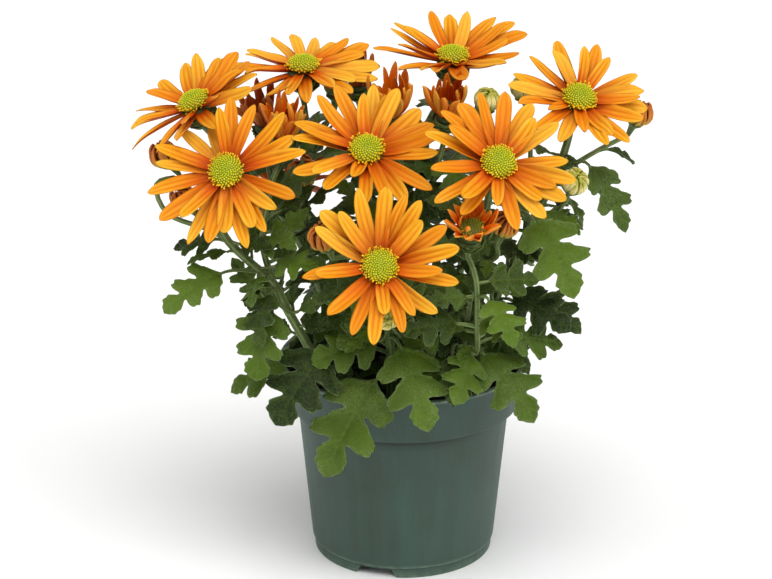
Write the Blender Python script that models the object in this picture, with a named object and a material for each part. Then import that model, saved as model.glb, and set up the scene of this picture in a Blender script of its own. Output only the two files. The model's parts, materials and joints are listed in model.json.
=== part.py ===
"""A pot chrysanthemum: orange daisy-like blooms on branching leafy stems, in a round plastic pot.

Lengths are millimetres in the pot's own frame, with the pot's axis at x = y = 0, the ground at z = 0
and the side that is meant to be seen towards -Y. They become metres where a mesh is made.
"""

import math
import random
from collections import namedtuple

import bpy
import bmesh
from mathutils import Matrix, Vector
from mathutils.bvhtree import BVHTree

MM = 0.001
GAP = 0.3
SEED = 12
CENTRE_X, CENTRE_Y = 6.0, 0.0  # where the pot's axis stands, so that the spread of the plant is centred

# Pot
RIM_RADIUS = 60.0
POT_HEIGHT = 98.0
BAND_BOTTOM = 75.5
FOOT_RADIUS = 43.6
FOOT_HEIGHT = 5.2
WALL = 1.4
FLOOR_BOTTOM, FLOOR_TOP = FOOT_HEIGHT - 0.8, FOOT_HEIGHT + 1.0
# Radius and height, from the middle of the underside round the wall to the middle of the floor.
POT_PROFILE = (
    (0, FLOOR_BOTTOM), (FOOT_RADIUS - 2.2, FLOOR_BOTTOM), (FOOT_RADIUS - 1.8, 0), (FOOT_RADIUS, 0),
    (FOOT_RADIUS + 0.3, FOOT_HEIGHT), (51.0, BAND_BOTTOM - 0.4), (55.7, BAND_BOTTOM),
    (58.4, POT_HEIGHT - 1.8), (RIM_RADIUS, POT_HEIGHT - 1.2), (RIM_RADIUS - 0.2, POT_HEIGHT),
    (57.4, POT_HEIGHT), (54.6, BAND_BOTTOM + WALL),
    (51.0 - WALL, BAND_BOTTOM - 1.0), (FOOT_RADIUS - 1.2, FLOOR_TOP), (0, FLOOR_TOP),
)
POT_SIDES = 30
DRAIN_RADIUS, DRAIN_RING, DRAIN_COUNT, DRAIN_SIDES = 4.5, 27.0, 4, 8
NOTCH_HEIGHT, NOTCH_WIDTH, NOTCH_INWARD, NOTCH_OUTWARD = 3.2, 15.0, 4.5, 2.0
CUT_PAST = 0.5  # how far a cutter reaches past what it cuts
NOTCH_TURNS = (-18, 102, 222)  # degrees round from the front

# Soil
SOIL_TOP = 87.0
SOIL_PROFILE = (
    (0, FLOOR_TOP + GAP), (FOOT_RADIUS - 2.2, FLOOR_TOP + GAP), (48.7, BAND_BOTTOM),
    (53.2, BAND_BOTTOM + 2.6), (54.6, SOIL_TOP - 1.5), (44.0, SOIL_TOP), (24.0, SOIL_TOP), (0, SOIL_TOP),
)
SOIL_LUMP = 1.6
SOIL_SIDES = 16
FIRST_LUMPY_ROW = 5
HOLE_RADIUS, HOLE_LENGTH, HOLE_SIDES = 4.0, 29.0, 6
STEM_DEPTH = 19.0  # how far a stem reaches down into the soil
STEM_FOOT = SOIL_TOP - STEM_DEPTH

# Flower heads
# Radius and height along a head's axis, from below it to its face. Those of a bud are shares of its radius.
CORE_PROFILE = ((0, -2.2), (7.4, -2.2), (7.4, 1.5), (0, 1.5))
DISC_PROFILE = ((0, 1.9), (5.0, 1.9), (8.6, 4.2), (7.9, 6.0), (4.8, 7.4), (0, 8.0))
YOUNG_CORE_PROFILE = ((0, -1.8), (4.6, -1.8), (4.8, 1.2), (0, 1.6))
YOUNG_DISC_PROFILE = ((0, 2.4), (2.8, 2.4), (4.4, 4.6), (3.0, 6.6), (0, 7.2))
BUD_PROFILE = ((0, -0.80), (0.70, -0.70), (1.0, -0.05), (0.80, 0.55), (0.38, 0.80), (0, 0.72))
CORE_SIDES, DISC_SIDES, YOUNG_SIDES, BUD_SIDES = 9, 10, 8, 7
DISC_KNOB, FIRST_KNOBBLY_ROW = 0.3, 2
BUD_RIB = 0.05
DOME_LIFT = 4.0  # from the plane of the petals to the middle of the dome
YOUNG_LIFT = 0.6  # the same in a young bloom, as a share of its height

# Petals
UPPER_LIFT = 7.0  # how much more the upper ring of petals rises than the lower, in degrees
UPPER_HEIGHT, LOWER_HEIGHT = 0.35, -0.85
STEEPEST_ROOT = 16.0  # how steeply a petal leaves the button, under the disc
SHINGLE = 9.0  # degrees that each petal is rolled, so that one edge lies over the next petal
PETAL_ROOT = 3.0  # how far from the head's axis a petal starts, inside the core
PETAL_THICK = 1.5
PETAL_STATIONS = ((0.50, 1.0), (0.88, 0.80))  # share of the length, share of the width
LONG_PETAL, SHORT_PETAL = 31.8, 26.2
LONG_WIDTH, SHORT_WIDTH = 8.0, 7.4
YOUNG_STATIONS = ((0.6, 1.0),)
YOUNG_ROOT, YOUNG_WIDTH, YOUNG_THICK, YOUNG_CURL = 2.4, 4.4, 1.4, 34
STEEP_YOUNG, LESS_STEEP = 62, 1.6  # degrees that a young petal stands up, and fewer for each unit of spread
# Where a petal meets something: degrees more of bend, share of the length that is kept.
PETAL_TRIES = ((0, 1), (6, 1), (-6, 1), (12, 1), (-12, 0.95), (20, 0.95), (8, 0.85), (-18, 0.85), (28, 0.85),
               (0, 0.7), (36, 0.75), (20, 0.6), (0, 0.5))
YOUNG_TRIES = (0, 12, 24, 40, -12)

# Leaves and stems
LEAF_THICK = 1.4
LEAF_FOLD = 0.15
LEAF_WAVE, LEAF_BEAT = 1.0, 9.0
CHORD_TO_ARC = 1.03  # length of a drooping blade over the distance from its base to its tip
LEAF_DROOP = 28
LONGEST_SMALL = 24.0  # the length up to which a leaf has the small outline
# Where a leaf meets something: degrees higher, degrees round its stem, share of the length that is kept.
LEAF_TRIES = tuple((lift, turn, shrink) for shrink in (1.0, 0.85, 0.7) for lift in (0, 10, -10, 20, -20)
                   for turn in (0, 12, -12, 24, -24))
STALK_HALF = 0.9
STEM_SIDES = 6
CURVE_STEP = 24.0
ROOT_SHARE = 0.7  # how thin a branch starts, inside its parent
STEM_RADII = {"main": (2.6, 1.9), "branch": (1.9, 1.6), "bud": (1.4, 1.3)}  # at the start, at the end
NECK = 6.0  # how far below its cup a stem is straight
CUP_RADIUS, CUP_TOP, CUP_DEPTH = 7.0, -2.6, 7.4
YOUNG_CUP_RADIUS, YOUNG_CUP_TOP, YOUNG_CUP_DEPTH = 5.6, -2.2, 6.5
BUD_CUP_SHARE, BUD_CUP_DEPTH = 0.75, 3.0
LEAF_EVERY = 21.0
FRONT_LEAF_EVERY = 15.0  # on the stems that stand in front, which are the leafiest
FRONT_STEMS = ("leafy_stem_1", "leafy_stem_3", "leafy_stem_5")
GOLDEN_TURN = math.radians(137.5)
LOWEST_LEAF = SOIL_TOP + 5
BARE_NECK = 26.0  # the stretch of stem below a head that has no leaves
LEAF_ZONE = 110.0  # the height over which leaves and stalks shorten
LOW_STALK, HIGH_STALK = 14.0, 6.0
LOW_BLADE, HIGH_BLADE = 36.0, 18.0
OUTWARD_PULL = 0.5
MIDDLE_Y, MIDDLE_RADIUS = 10.0, 24.0

# What a piece needs before it is given its form
Head = namedtuple("Head", "centre yaw rise cup reach lower upper")
Young = namedtuple("Young", "centre yaw rise height spread petals disc colour")
Bud = namedtuple("Bud", "centre yaw rise radius colour")
Shoot = namedtuple("Shoot", "stem kind route ends_at")
Leaf = namedtuple("Leaf", "stem joint base tip faces width droop kind")

# The directions of the petals are degrees clockwise round the head from its top.
HEADS = {
    "bloom_1": Head((-97, -12, 228), -56, 61, 12, 1.00,
                    (10, 33, 59, 75, 100, 145, 174, 200, 228, 258, 275, 311, 335, 350),
                    (20, 65, 120, 165, 240, 290)),
    "bloom_2": Head((-47, 12, 239), 0, 78, 5, 1.04,
                    (9, 28, 60, 90, 110, 141, 176, 205, 232, 272, 306, 333),
                    (45, 75, 125, 155, 190, 254, 290, 350)),
    "bloom_3": Head((23, 22, 241), 5, 78, 20, 1.07,
                    (1, 36, 53, 75, 107, 130, 148, 172, 196, 225, 270, 293, 313, 344),
                    (19, 62, 90, 160, 210, 252, 300)),
    "bloom_4": Head((81, -8, 229), 14, 53, 12, 0.95,
                    (22, 59, 77, 99, 111, 138, 165, 199, 225, 253, 273, 290, 313, 342),
                    (5, 36, 88, 150, 181, 240, 330)),
    "bloom_5": Head((-80, -52, 207), -12, 34, 6, 1.03,
                    (2, 24, 49, 66, 81, 112, 149, 170, 192, 212, 234, 257, 282, 296, 318, 341),
                    (130, 157, 185, 222, 0)),
    "bloom_6": Head((-17, -48, 216), 0, 53, 12, 1.05,
                    (3, 26, 46, 65, 82, 103, 124, 147, 179, 220, 249, 279, 298, 317, 336),
                    (15, 162, 196, 232, 288, 353)),
    "bloom_7": Head((42, -58, 213), 9, 39, 10, 0.98,
                    (3, 25, 55, 86, 104, 122, 145, 166, 210, 234, 258, 287, 311, 330, 345),
                    (38, 110, 135, 183, 220, 298)),
    "bloom_8": Head((-11, -92, 176), 0, 30, 10, 1.00,
                    (3, 17, 35, 55, 79, 105, 132, 159, 182, 204, 226, 262, 299, 314, 341),
                    (46, 96, 149, 175, 261, 322)),
    "bloom_9": Head((-56, 60, 168), -145, 40, 10, 1.00,
                    (0, 30, 60, 90, 120, 150, 180, 210, 240, 270, 300, 330), (45, 135, 225, 315)),
    "bloom_10": Head((-6, 87, 172), 180, 42, 10, 1.00,
                     (5, 35, 65, 95, 125, 155, 185, 215, 245, 275, 305, 335), (50, 110, 200, 290)),
    "bloom_11": Head((46, 72, 172), 145, 40, 10, 1.00,
                     (10, 40, 70, 100, 130, 160, 190, 220, 250, 280, 310, 340), (25, 85, 205, 295)),
}

YOUNG = {
    "young_bloom_1": Young((-68, 5, 221), -30, 62, 19, 9, 10, None, "brown"),
    "young_bloom_2": Young((-55, -22, 222), 10, 66, 18, 10, 11, None, "red"),
    "young_bloom_3": Young((-6, -5, 229), 0, 74, 20, 11, 11, None, "red"),
    "young_bloom_4": Young((20, -8, 228), 6, 66, 17, 12, 11, "green", "red"),
    "young_bloom_5": Young((30, -72, 189), 8, 58, 14, 16, 13, "disc", "red"),
    "young_bloom_6": Young((-22, 30, 233), -10, 70, 17, 9, 10, None, "brown"),
}

BUDS = {
    "bud_1": Bud((38, -13, 229), 20, 60, 6.4, "cream"),
    "bud_2": Bud((78, -30, 195), 10, 40, 6.8, "cream"),
    "bud_3": Bud((56, 15, 227), -20, 60, 6.4, "cream"),
    "bud_4": Bud((-32, 15, 228), 10, 70, 6.0, "green"),
    "bud_5": Bud((45, -60, 184), 30, 60, 5.6, "brown"),
    "bud_6": Bud((-8, -80, 147), 20, 20, 5.6, "cream"),
    "bud_7": Bud((-36, -62, 179), -30, 60, 6.6, "brown"),
    "bud_8": Bud((-111, -15, 203), -60, 55, 6.0, "brown"),
    "bud_9": Bud((-101, -30, 186), -50, 50, 5.6, "brown"),
    "bud_10": Bud((-47, -20, 196), -10, 60, 6.6, "brown"),
    "bud_11": Bud((111, 15, 214), 40, 60, 5.6, "green"),
}

# Each route starts in the soil or inside the shoot that it grows from. Its end at the head is worked out.
SHOOTS = (
    Shoot("leafy_stem_1", "main", ((-28, -24, STEM_FOOT), (-40, -32, 105), (-54, -39, 136), (-60, -40, 149),
                                   (-72, -41, 161), (-82, -40, 172), (-85, -38, 186)), "bloom_5"),
    Shoot("leafy_stem_1", "branch", ((-60, -40, 149), (-65, -36, 168), (-61, -27, 192)), "young_bloom_2"),
    Shoot("leafy_stem_1", "bud", ((-64, -34, 178), (-54, -26, 184)), "bud_10"),
    Shoot("leafy_stem_1", "bud", ((-80, -40, 170), (-93, -36, 176)), "bud_9"),
    Shoot("leafy_stem_1", "bud", ((-89, -36.5, 174.3), (-108, -35, 181), (-114, -25, 192)), "bud_8"),
    Shoot("leafy_stem_2", "main", ((-24, 10, STEM_FOOT), (-36, 8, 118), (-50, 5, 155), (-68, 1, 184),
                                   (-82, -3, 204)), "bloom_1"),
    Shoot("leafy_stem_2", "branch", ((-46, 6, 146), (-47, 12, 175), (-45, 15, 200)), "bloom_2"),
    Shoot("leafy_stem_2", "branch", ((-58, 3.5, 168), (-64, 5, 194)), "young_bloom_1"),
    Shoot("leafy_stem_2", "bud", ((-46, 14, 192), (-37, 16, 208)), "bud_4"),
    Shoot("leafy_stem_3", "main", ((-6, -24, STEM_FOOT), (-6, -32, 108), (-8, -46, 136),
                                   (-10, -62, 156)), "bloom_8"),
    Shoot("leafy_stem_3", "branch", ((-7, -39, 124), (-13, -32, 160), (-16, -33, 186)), "bloom_6"),
    Shoot("leafy_stem_3", "bud", ((-13, -32, 157), (-26, -46, 164)), "bud_7"),
    Shoot("leafy_stem_3", "bud", ((-8, -44, 132), (-8, -62, 136)), "bud_6"),
    Shoot("leafy_stem_4", "main", ((6, 8, STEM_FOOT), (8, 12, 140), (10, 19, 188), (12, 23, 208)), "bloom_3"),
    Shoot("leafy_stem_4", "branch", ((8, 12.5, 148), (2, 4, 184)), "young_bloom_3"),
    Shoot("leafy_stem_4", "branch", ((9, 15, 162), (16, 1, 194)), "young_bloom_4"),
    Shoot("leafy_stem_4", "bud", ((14, 5, 184), (30, -4, 206)), "bud_1"),
    Shoot("leafy_stem_4", "branch", ((8.5, 13, 154), (-10, 25, 196)), "young_bloom_6"),
    Shoot("leafy_stem_5", "main", ((24, -14, STEM_FOOT), (28, -20, 116), (33, -31, 158),
                                   (38, -38, 188)), "bloom_7"),
    Shoot("leafy_stem_5", "branch", ((27.5, -19, 108), (33, -48, 118), (33, -62, 136),
                                   (32, -67, 160)), "young_bloom_5"),
    Shoot("leafy_stem_5", "bud", ((32.5, -30, 152), (42, -46, 164)), "bud_5"),
    Shoot("leafy_stem_6", "main", ((32, 8, STEM_FOOT), (42, 5, 118), (57, 2, 156), (70, 0, 186),
                                   (76, 1, 203)), "bloom_4"),
    Shoot("leafy_stem_6", "bud", ((60, 1.5, 164), (73, -16, 178)), "bud_2"),
    Shoot("leafy_stem_6", "bud", ((71, 0, 188), (92, 7, 199)), "bud_11"),
    Shoot("leafy_stem_6", "bud", ((57, 2, 157), (60, 13, 194)), "bud_3"),
    Shoot("leafy_stem_7", "main", ((-12, 30, STEM_FOOT), (-22, 38, 112), (-38, 47, 142)), "bloom_9"),
    Shoot("leafy_stem_7", "branch", ((-19, 35.5, 102), (-12, 56, 134), (-6, 72, 152)), "bloom_10"),
    Shoot("leafy_stem_8", "main", ((16, 28, STEM_FOOT), (24, 38, 112), (34, 52, 142)), "bloom_11"),
)

# The stems that carry the leaves in front: at the left, in the middle, at the right, and outside that.
LEFT, MIDDLE, RIGHT, OUTER = "leafy_stem_1", "leafy_stem_3", "leafy_stem_5", "leafy_stem_6"

# Joint on the stem, base and tip of the blade, the way it faces, width as a share of its length, droop, kind.
KEY_LEAVES = (
    Leaf(LEFT, (-66, -40, 154), (-83, -48, 157), (-109, -62, 143), (-0.2, -0.6, 0.8), 0.85, 35, "large"),
    Leaf(LEFT, (-52, -38, 132), (-61, -52, 141), (-69, -68, 112), (-0.3, -0.8, 0.5), 0.95, 30, "large"),
    Leaf(MIDDLE, (-6, -34, 112), (-36, -52, 120), (-60, -74, 94), (-0.1, -0.7, 0.7), 0.95, 30, "large"),
    Leaf(MIDDLE, (-6, -30, 104), (-13, -58, 108), (-38, -84, 72), (-0.2, -0.75, 0.65), 0.90, 34, "large"),
    Leaf(MIDDLE, (-7, -38, 122), (-2, -56, 124), (8, -74, 88), (0.2, -0.75, 0.6), 0.90, 30, "large"),
    Leaf(MIDDLE, (-8, -43, 132), (-8, -52, 125), (-34, -72, 118), (-0.2, -0.7, 0.7), 0.95, 25, "medium"),
    Leaf(RIGHT, (28, -20, 118), (30, -52, 127), (11, -64, 117), (0.0, -0.7, 0.7), 0.90, 20, "medium"),
    Leaf(RIGHT, (28, -20, 114), (36, -48, 118), (60, -68, 92), (0.3, -0.7, 0.65), 0.95, 34, "large"),
    Leaf(RIGHT, (28, -19, 108), (29, -52, 117), (33, -68, 100), (0.1, -0.8, 0.5), 0.85, 24, "medium"),
    Leaf(OUTER, (50, 3.5, 138), (59, -34, 178), (79, -58, 150), (0.3, -0.8, 0.5), 0.90, 30, "large"),
    Leaf(OUTER, (44, 4.5, 122), (50, -36, 142), (77, -50, 132), (0.1, -0.6, 0.8), 0.90, 24, "large"),
    Leaf(OUTER, (66, 0.5, 178), (86, -8, 196), (103, -20, 167), (0.4, -0.7, 0.6), 0.65, 40, "large"),
    Leaf(OUTER, (58, 1.8, 160), (68, -16, 176), (88, -32, 178), (0.2, -0.6, 0.8), 0.80, 24, "small"),
    Leaf(LEFT, (-58, -40, 146), (-56, -33, 152), (-56, -33, 176), (-0.1, -1.0, 0.1), 0.60, 20, "small"),
    Leaf(LEFT, (-53, -39, 135), (-49, -42, 136), (-35, -50, 148), (-0.2, -0.9, 0.5), 0.70, 20, "small"),
    Leaf(LEFT, (-54, -39, 136), (-66, -34, 142), (-79, -36, 160), (-0.2, -1.0, 0.2), 0.80, 20, "medium"),
    Leaf(LEFT, (-65, -36, 166), (-62, -35, 166), (-44, -36, 184), (0.1, -1.0, 0.3), 0.80, 20, "small"),
    Leaf(RIGHT, (32, -28, 148), (26, -40, 149), (5, -40, 157), (0.0, -0.9, 0.4), 0.90, 20, "medium"),
    Leaf(MIDDLE, (-8, -44, 134), (0, -50, 125), (24, -44, 135), (0.1, -0.8, 0.5), 0.90, 20, "medium"),
    Leaf(RIGHT, (31, -27, 143), (36, -54, 143), (48, -62, 137), (0.1, -0.7, 0.7), 0.90, 20, "small"),
    Leaf(RIGHT, (33, -31, 156), (40, -38, 158), (53, -44, 144), (0.2, -0.8, 0.5), 0.85, 20, "small"),
    Leaf(MIDDLE, (-10, -35, 142), (4, -46, 134), (-3, -50, 150), (0.1, -0.9, 0.4), 0.90, 20, "small"),
    Leaf(MIDDLE, (-11, -33, 148), (-28, -38, 144), (-42, -40, 162), (-0.1, -0.9, 0.3), 0.85, 20, "medium"),
    Leaf(RIGHT, (33, -32, 160), (26, -40, 162), (11, -42, 176), (0.0, -1.0, 0.3), 0.80, 20, "small"),
    Leaf(OUTER, (52, 3, 142), (62, -28, 140), (82, -34, 122), (0.3, -0.7, 0.6), 0.85, 24, "medium"),
    Leaf(RIGHT, (38, -38, 186), (40, -43, 172), (32, -50, 161), (0.2, -0.9, 0.4), 0.80, 20, "small"),
)

# Half outlines, from the stalk to the tip: distance along and distance out, as shares of the length.
# Each outline point is joined to one node on the midrib.
LARGE_MIDRIB = (0.0, 0.30, 0.62)
LARGE_LEAF = ((0.02, 0.20, 1), (0.12, 0.42, 1), (0.22, 0.38, 1), (0.31, 0.16, 1), (0.42, 0.36, 2),
              (0.58, 0.43, 2), (0.64, 0.31, 2), (0.67, 0.13, 2), (0.82, 0.20, 2), (0.91, 0.12, 2))
MEDIUM_LEAF = ((0.12, 0.39, 1), (0.31, 0.14, 1), (0.53, 0.43, 2), (0.67, 0.13, 2), (0.87, 0.15, 2))
SMALL_MIDRIB = (0.0, 0.5)
SMALL_LEAF = ((0.12, 0.14, 1), (0.34, 0.32, 1), (0.48, 0.30, 1), (0.54, 0.13, 1), (0.78, 0.15, 1))
LEAF_KINDS = {
    "large": (LARGE_MIDRIB, LARGE_LEAF),
    "medium": (LARGE_MIDRIB, MEDIUM_LEAF),
    "small": (SMALL_MIDRIB, SMALL_LEAF),
}
KIND_WIDTH = 0.85  # the width of the half outlines above, doubled

COLOURS = {
    "pot": ((0.055, 0.095, 0.072), 0.5),
    "soil": ((0.020, 0.014, 0.010), 0.95),
    "leaf": ((0.055, 0.120, 0.030), 0.6),
    "petal": ((0.95, 0.33, 0.025), 0.55),
    "disc": ((0.42, 0.50, 0.04), 0.7),
    "red": ((0.55, 0.11, 0.025), 0.6),
    "brown": ((0.28, 0.09, 0.03), 0.7),
    "cream": ((0.45, 0.50, 0.20), 0.6),
    "green": ((0.12, 0.22, 0.05), 0.6),
}


def facing(yaw, rise):
    """The direction that is yaw degrees round from -Y towards +X and rise degrees above level."""
    yaw, rise = math.radians(yaw), math.radians(rise)
    return Vector((math.sin(yaw) * math.cos(rise), -math.cos(yaw) * math.cos(rise), math.sin(rise)))


def frame_of(origin, along, normal):
    """A frame with X along, Z as near to normal as it can be, at origin."""
    along = Vector(along).normalized()
    normal = Vector(normal)
    side = normal.cross(along).normalized()
    normal = along.cross(side)
    frame = Matrix((along, side, normal)).transposed().to_4x4()
    frame.translation = Vector(origin)
    return frame


def head_frame(centre, yaw, rise, lift):
    """The frame of a flower head: Z out of its face, X to its top, its origin lift below centre."""
    out = facing(yaw, rise)
    upward = Vector((0, 1, 1))
    return frame_of(Vector(centre) - out * lift, upward - out * out.dot(upward), out)


def bent(frame, length, curl, bend, roll, wave=0.0, beat=0.0):
    """A map for a blade in frame: (share of the length, distance across, height) to a point.

    The blade follows an arc that turns by curl, strays sideways by bend and rolls by roll at its tip.
    """
    def place(share, across, up):
        angle = curl * share
        if abs(curl) < 1e-4:
            along, height = length * share, 0.0
        else:
            along = length / curl * math.sin(angle)
            height = length / curl * (1 - math.cos(angle))
        turn = roll * share
        up += wave * math.sin(share * beat + (2.0 if across > 0 else 0.0)) * min(1.0, abs(across) / 6.0)
        side = across * math.cos(turn) - up * math.sin(turn)
        lift = across * math.sin(turn) + up * math.cos(turn)
        return frame @ Vector((along - lift * math.sin(angle), side + bend * share * share,
                               height + lift * math.cos(angle)))
    return place


def petal(place, width, thick, stations=PETAL_STATIONS):
    """A petal with a low ridge, a pointed root and a blunt tip, sharp at its edges, as points and faces."""
    points, faces = [place(0.0, 0, 0)], []
    for share, part in stations:
        half = width / 2 * part
        points += [place(share, -half, 0), place(share, 0, thick * part), place(share, half, 0)]
    tip = len(points)
    points.append(place(1.0, 0, 0))
    for k in range(3):
        after = (k + 1) % 3
        faces.append((0, 1 + k, 1 + after))
        for ring in range(len(stations) - 1):
            a, b = 1 + ring * 3 + k, 1 + ring * 3 + after
            faces += [(a, b + 3, b), (a, a + 3, b + 3)]
        faces.append((tip, tip - 3 + after, tip - 3 + k))
    return points, faces


def leaf_blade(place, leaf, length, thick, stalk):
    """A lobed leaf with its stalk, thickest along its midrib and sharp at its edge, as points and faces.

    The stalk is a list of points, from inside the stem towards the blade.
    """
    midrib, outline = LEAF_KINDS[leaf.kind]
    scale = length * leaf.width / KIND_WIDTH
    outline = ((0.0, STALK_HALF / scale, 1),) + outline
    points, faces, top, under, edges = [], [], [], [], {}
    for share in midrib:
        top.append(len(points))
        points.append(place(share, 0, thick / 2))
        under.append(len(points))
        points.append(place(share, 0, -thick / 2))
    tip = len(points)
    points.append(place(1.0, 0, 0))
    for side in (1, -1):
        edge = edges[side] = []
        for share, out, _ in outline:
            edge.append(len(points))
            points.append(place(share, side * out * scale, LEAF_FOLD * out * scale))
        for ribs, flip in ((top, side > 0), (under, side < 0)):
            previous, node = ribs[0], 1
            cells = []
            for corner, (_, _, wanted) in zip(edge, outline):
                if wanted != node:
                    cells.append((ribs[wanted], ribs[node], previous))
                    node = wanted
                cells.append((ribs[node], previous, corner))
                previous = corner
            cells.append((ribs[node], previous, tip))
            faces += [(c, b, a) if flip else (a, b, c) for a, b, c in cells]
    ring = [top[0], edges[1][0], under[0], edges[-1][0]]
    centre = (points[top[0]] + points[under[0]]) / 2
    for point in reversed(stalk):
        start = len(points)
        points += [points[i] + point - centre for i in ring]
        for k in range(4):
            a, b = k, (k + 1) % 4
            faces += [(ring[a], ring[b], start + b), (ring[a], start + b, start + a)]
        ring = list(range(start, start + 4))
        centre = point
    faces += [(ring[0], ring[1], ring[2]), (ring[0], ring[2], ring[3])]
    return points, faces


def tube(route, radii, sides):
    """A round stem along route, closed at both ends, as points and faces."""
    points, faces = [], []
    normal = Vector((0.3, 0.9, 0.1))
    for i, centre in enumerate(route):
        ahead = route[min(i + 1, len(route) - 1)] - route[max(i - 1, 0)]
        frame = frame_of(centre, ahead, normal)
        normal = frame.to_3x3() @ Vector((0, 0, 1))
        for k in range(sides):
            turn = math.tau * k / sides
            points.append(frame @ Vector((0, radii[i] * math.cos(turn), radii[i] * math.sin(turn))))
    for ring in range(len(route) - 1):
        for k in range(sides):
            a, b = ring * sides + k, ring * sides + (k + 1) % sides
            faces += [(a, b, b + sides), (a, b + sides, a + sides)]
    last = (len(route) - 1) * sides
    faces += [(0, k + 1, k) for k in range(1, sides - 1)]
    faces += [(last, last + k, last + k + 1) for k in range(1, sides - 1)]
    return points, faces


def turned(frame, profile, sides, relief=None):
    """A solid turned about the frame's Z from a profile that starts and ends on the axis, top last."""
    points, faces = [], []
    rings = []
    for row, (radius, height) in enumerate(profile):
        if radius == 0:
            rings.append([len(points)])
            points.append(frame @ Vector((0, 0, height)))
            continue
        ring = []
        for k in range(sides):
            turn = math.tau * (k + 0.5 * (row % 2)) / sides
            r, z = (radius, height) if relief is None else relief(radius, height, k, row)
            ring.append(len(points))
            points.append(frame @ Vector((r * math.cos(turn), r * math.sin(turn), z)))
        rings.append(ring)
    for row, (low, high) in enumerate(zip(rings, rings[1:])):
        for k in range(sides):
            a, b = low[k % len(low)], low[(k + 1) % len(low)]
            c, d = high[k % len(high)], high[(k + 1) % len(high)]
            if len(low) == 1:
                faces.append((a, d, c))
            elif len(high) == 1:
                faces.append((a, b, c))
            elif row % 2:
                faces += [(a, b, d), (a, d, c)]
            else:
                faces += [(a, b, c), (b, d, c)]
    return points, faces


def smooth_route(route, step=9.0):
    """Points about step apart on a smooth curve through the route's own points."""
    route = [Vector(p) for p in route]
    ends = [route[0] * 2 - route[1]] + route + [route[-1] * 2 - route[-2]]
    out = [route[0]]
    for before, a, b, after in zip(ends, ends[1:], ends[2:], ends[3:]):
        count = max(1, round((b - a).length / step))
        for i in range(1, count + 1):
            t = i / count
            out.append(0.5 * (2 * a + (b - before) * t + (2 * before - 5 * a + 4 * b - after) * t ** 2
                              + (3 * a - before - 3 * b + after) * t ** 3))
    return out


def mesh_object(name, points, faces, colour):
    """An object in metres, from points in millimetres, with its own material."""
    mesh = bpy.data.meshes.new(name)
    mesh.from_pydata([Vector(p) * MM for p in points], [], faces)
    mesh.update()
    mesh.shade_smooth()
    mesh.set_sharp_from_angle(angle=math.radians(45))
    mesh.materials.append(material(name, colour))
    made = bpy.data.objects.new(name, mesh)
    made.parent = ROOT
    bpy.context.scene.collection.objects.link(made)
    return made


def material(name, colour):
    tint, roughness = COLOURS[colour]
    made = bpy.data.materials.new(name)
    made.use_nodes = True
    shader = made.node_tree.nodes["Principled BSDF"]
    shader.inputs["Base Color"].default_value = (*tint, 1.0)
    shader.inputs["Roughness"].default_value = roughness
    shader.inputs["Metallic"].default_value = 0.0
    return made


def fused(name, parts, colour, solver="EXACT"):
    """One object from closed parts that overlap, by one union."""
    body = mesh_object(name, *parts[0], colour)
    group = bpy.data.collections.new(name)
    bpy.context.scene.collection.children.link(group)
    for points, faces in parts[1:]:
        mesh = bpy.data.meshes.new("piece")
        mesh.from_pydata([Vector(p) * MM for p in points], [], faces)
        group.objects.link(bpy.data.objects.new("piece", mesh))
        group.objects[-1].parent = ROOT
    apply_boolean(body, "UNION", group, solver)
    return body


def apply_boolean(body, operation, group, solver="EXACT"):
    """Join or cut body with a collection's objects, which are then removed."""
    step = body.modifiers.new("fuse", "BOOLEAN")
    step.operation = operation
    step.operand_type = "COLLECTION"
    step.collection = group
    step.solver = solver
    bpy.context.view_layer.update()
    evaluated = body.evaluated_get(bpy.context.evaluated_depsgraph_get())
    mesh = bpy.data.meshes.new_from_object(evaluated)
    body.modifiers.remove(step)
    body.data = mesh
    for piece in list(group.objects):
        bpy.data.objects.remove(piece)
    bpy.data.collections.remove(group)


class Crowd:
    """What is already placed, to keep the parts of different nodes from touching."""

    def __init__(self):
        self.placed = []

    def add(self, owner, part, tag=None):
        points, faces = part
        low = [min(p[i] for p in points) for i in range(3)]
        high = [max(p[i] for p in points) for i in range(3)]
        self.placed.append(({owner, tag}, low, high, BVHTree.FromPolygons(points, faces)))

    def hits(self, owners, part):
        """Whether part touches anything but what owners names."""
        points, faces = part
        low = [min(p[i] for p in points) for i in range(3)]
        high = [max(p[i] for p in points) for i in range(3)]
        tree = BVHTree.FromPolygons(points, faces)
        for names, lower, upper, other in self.placed:
            if names & owners:
                continue
            if any(high[i] < lower[i] or low[i] > upper[i] for i in range(3)):
                continue
            if tree.overlap(other):
                return True
        return False


def disc_part(frame):
    """The dome of florets, as a turned solid with a knobbly relief."""
    def knobbly(radius, height, k, row):
        out = DISC_KNOB if k % 2 else -DISC_KNOB
        return radius + (out if row >= FIRST_KNOBBLY_ROW else 0), height

    return turned(frame, DISC_PROFILE, DISC_SIDES, knobbly)


def cup_rings(radius, top, depth):
    """Heights and radii of the green cup of small bracts under a head, from the stem up."""
    if depth < 4:
        return ((top - depth, radius * 0.45), (top, radius))
    return ((top - depth, radius * 0.42), (top - depth * 0.6, radius * 0.88), (top, radius))


def bud_part(frame, radius):
    """A closed bud with its petals folded over the top."""
    def ribbed(r, z, k, row):
        return r * (1 + BUD_RIB if k % 2 else 1 - BUD_RIB), z

    return turned(frame, [(r * radius, z * radius) for r, z in BUD_PROFILE], BUD_SIDES, ribbed)


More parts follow.
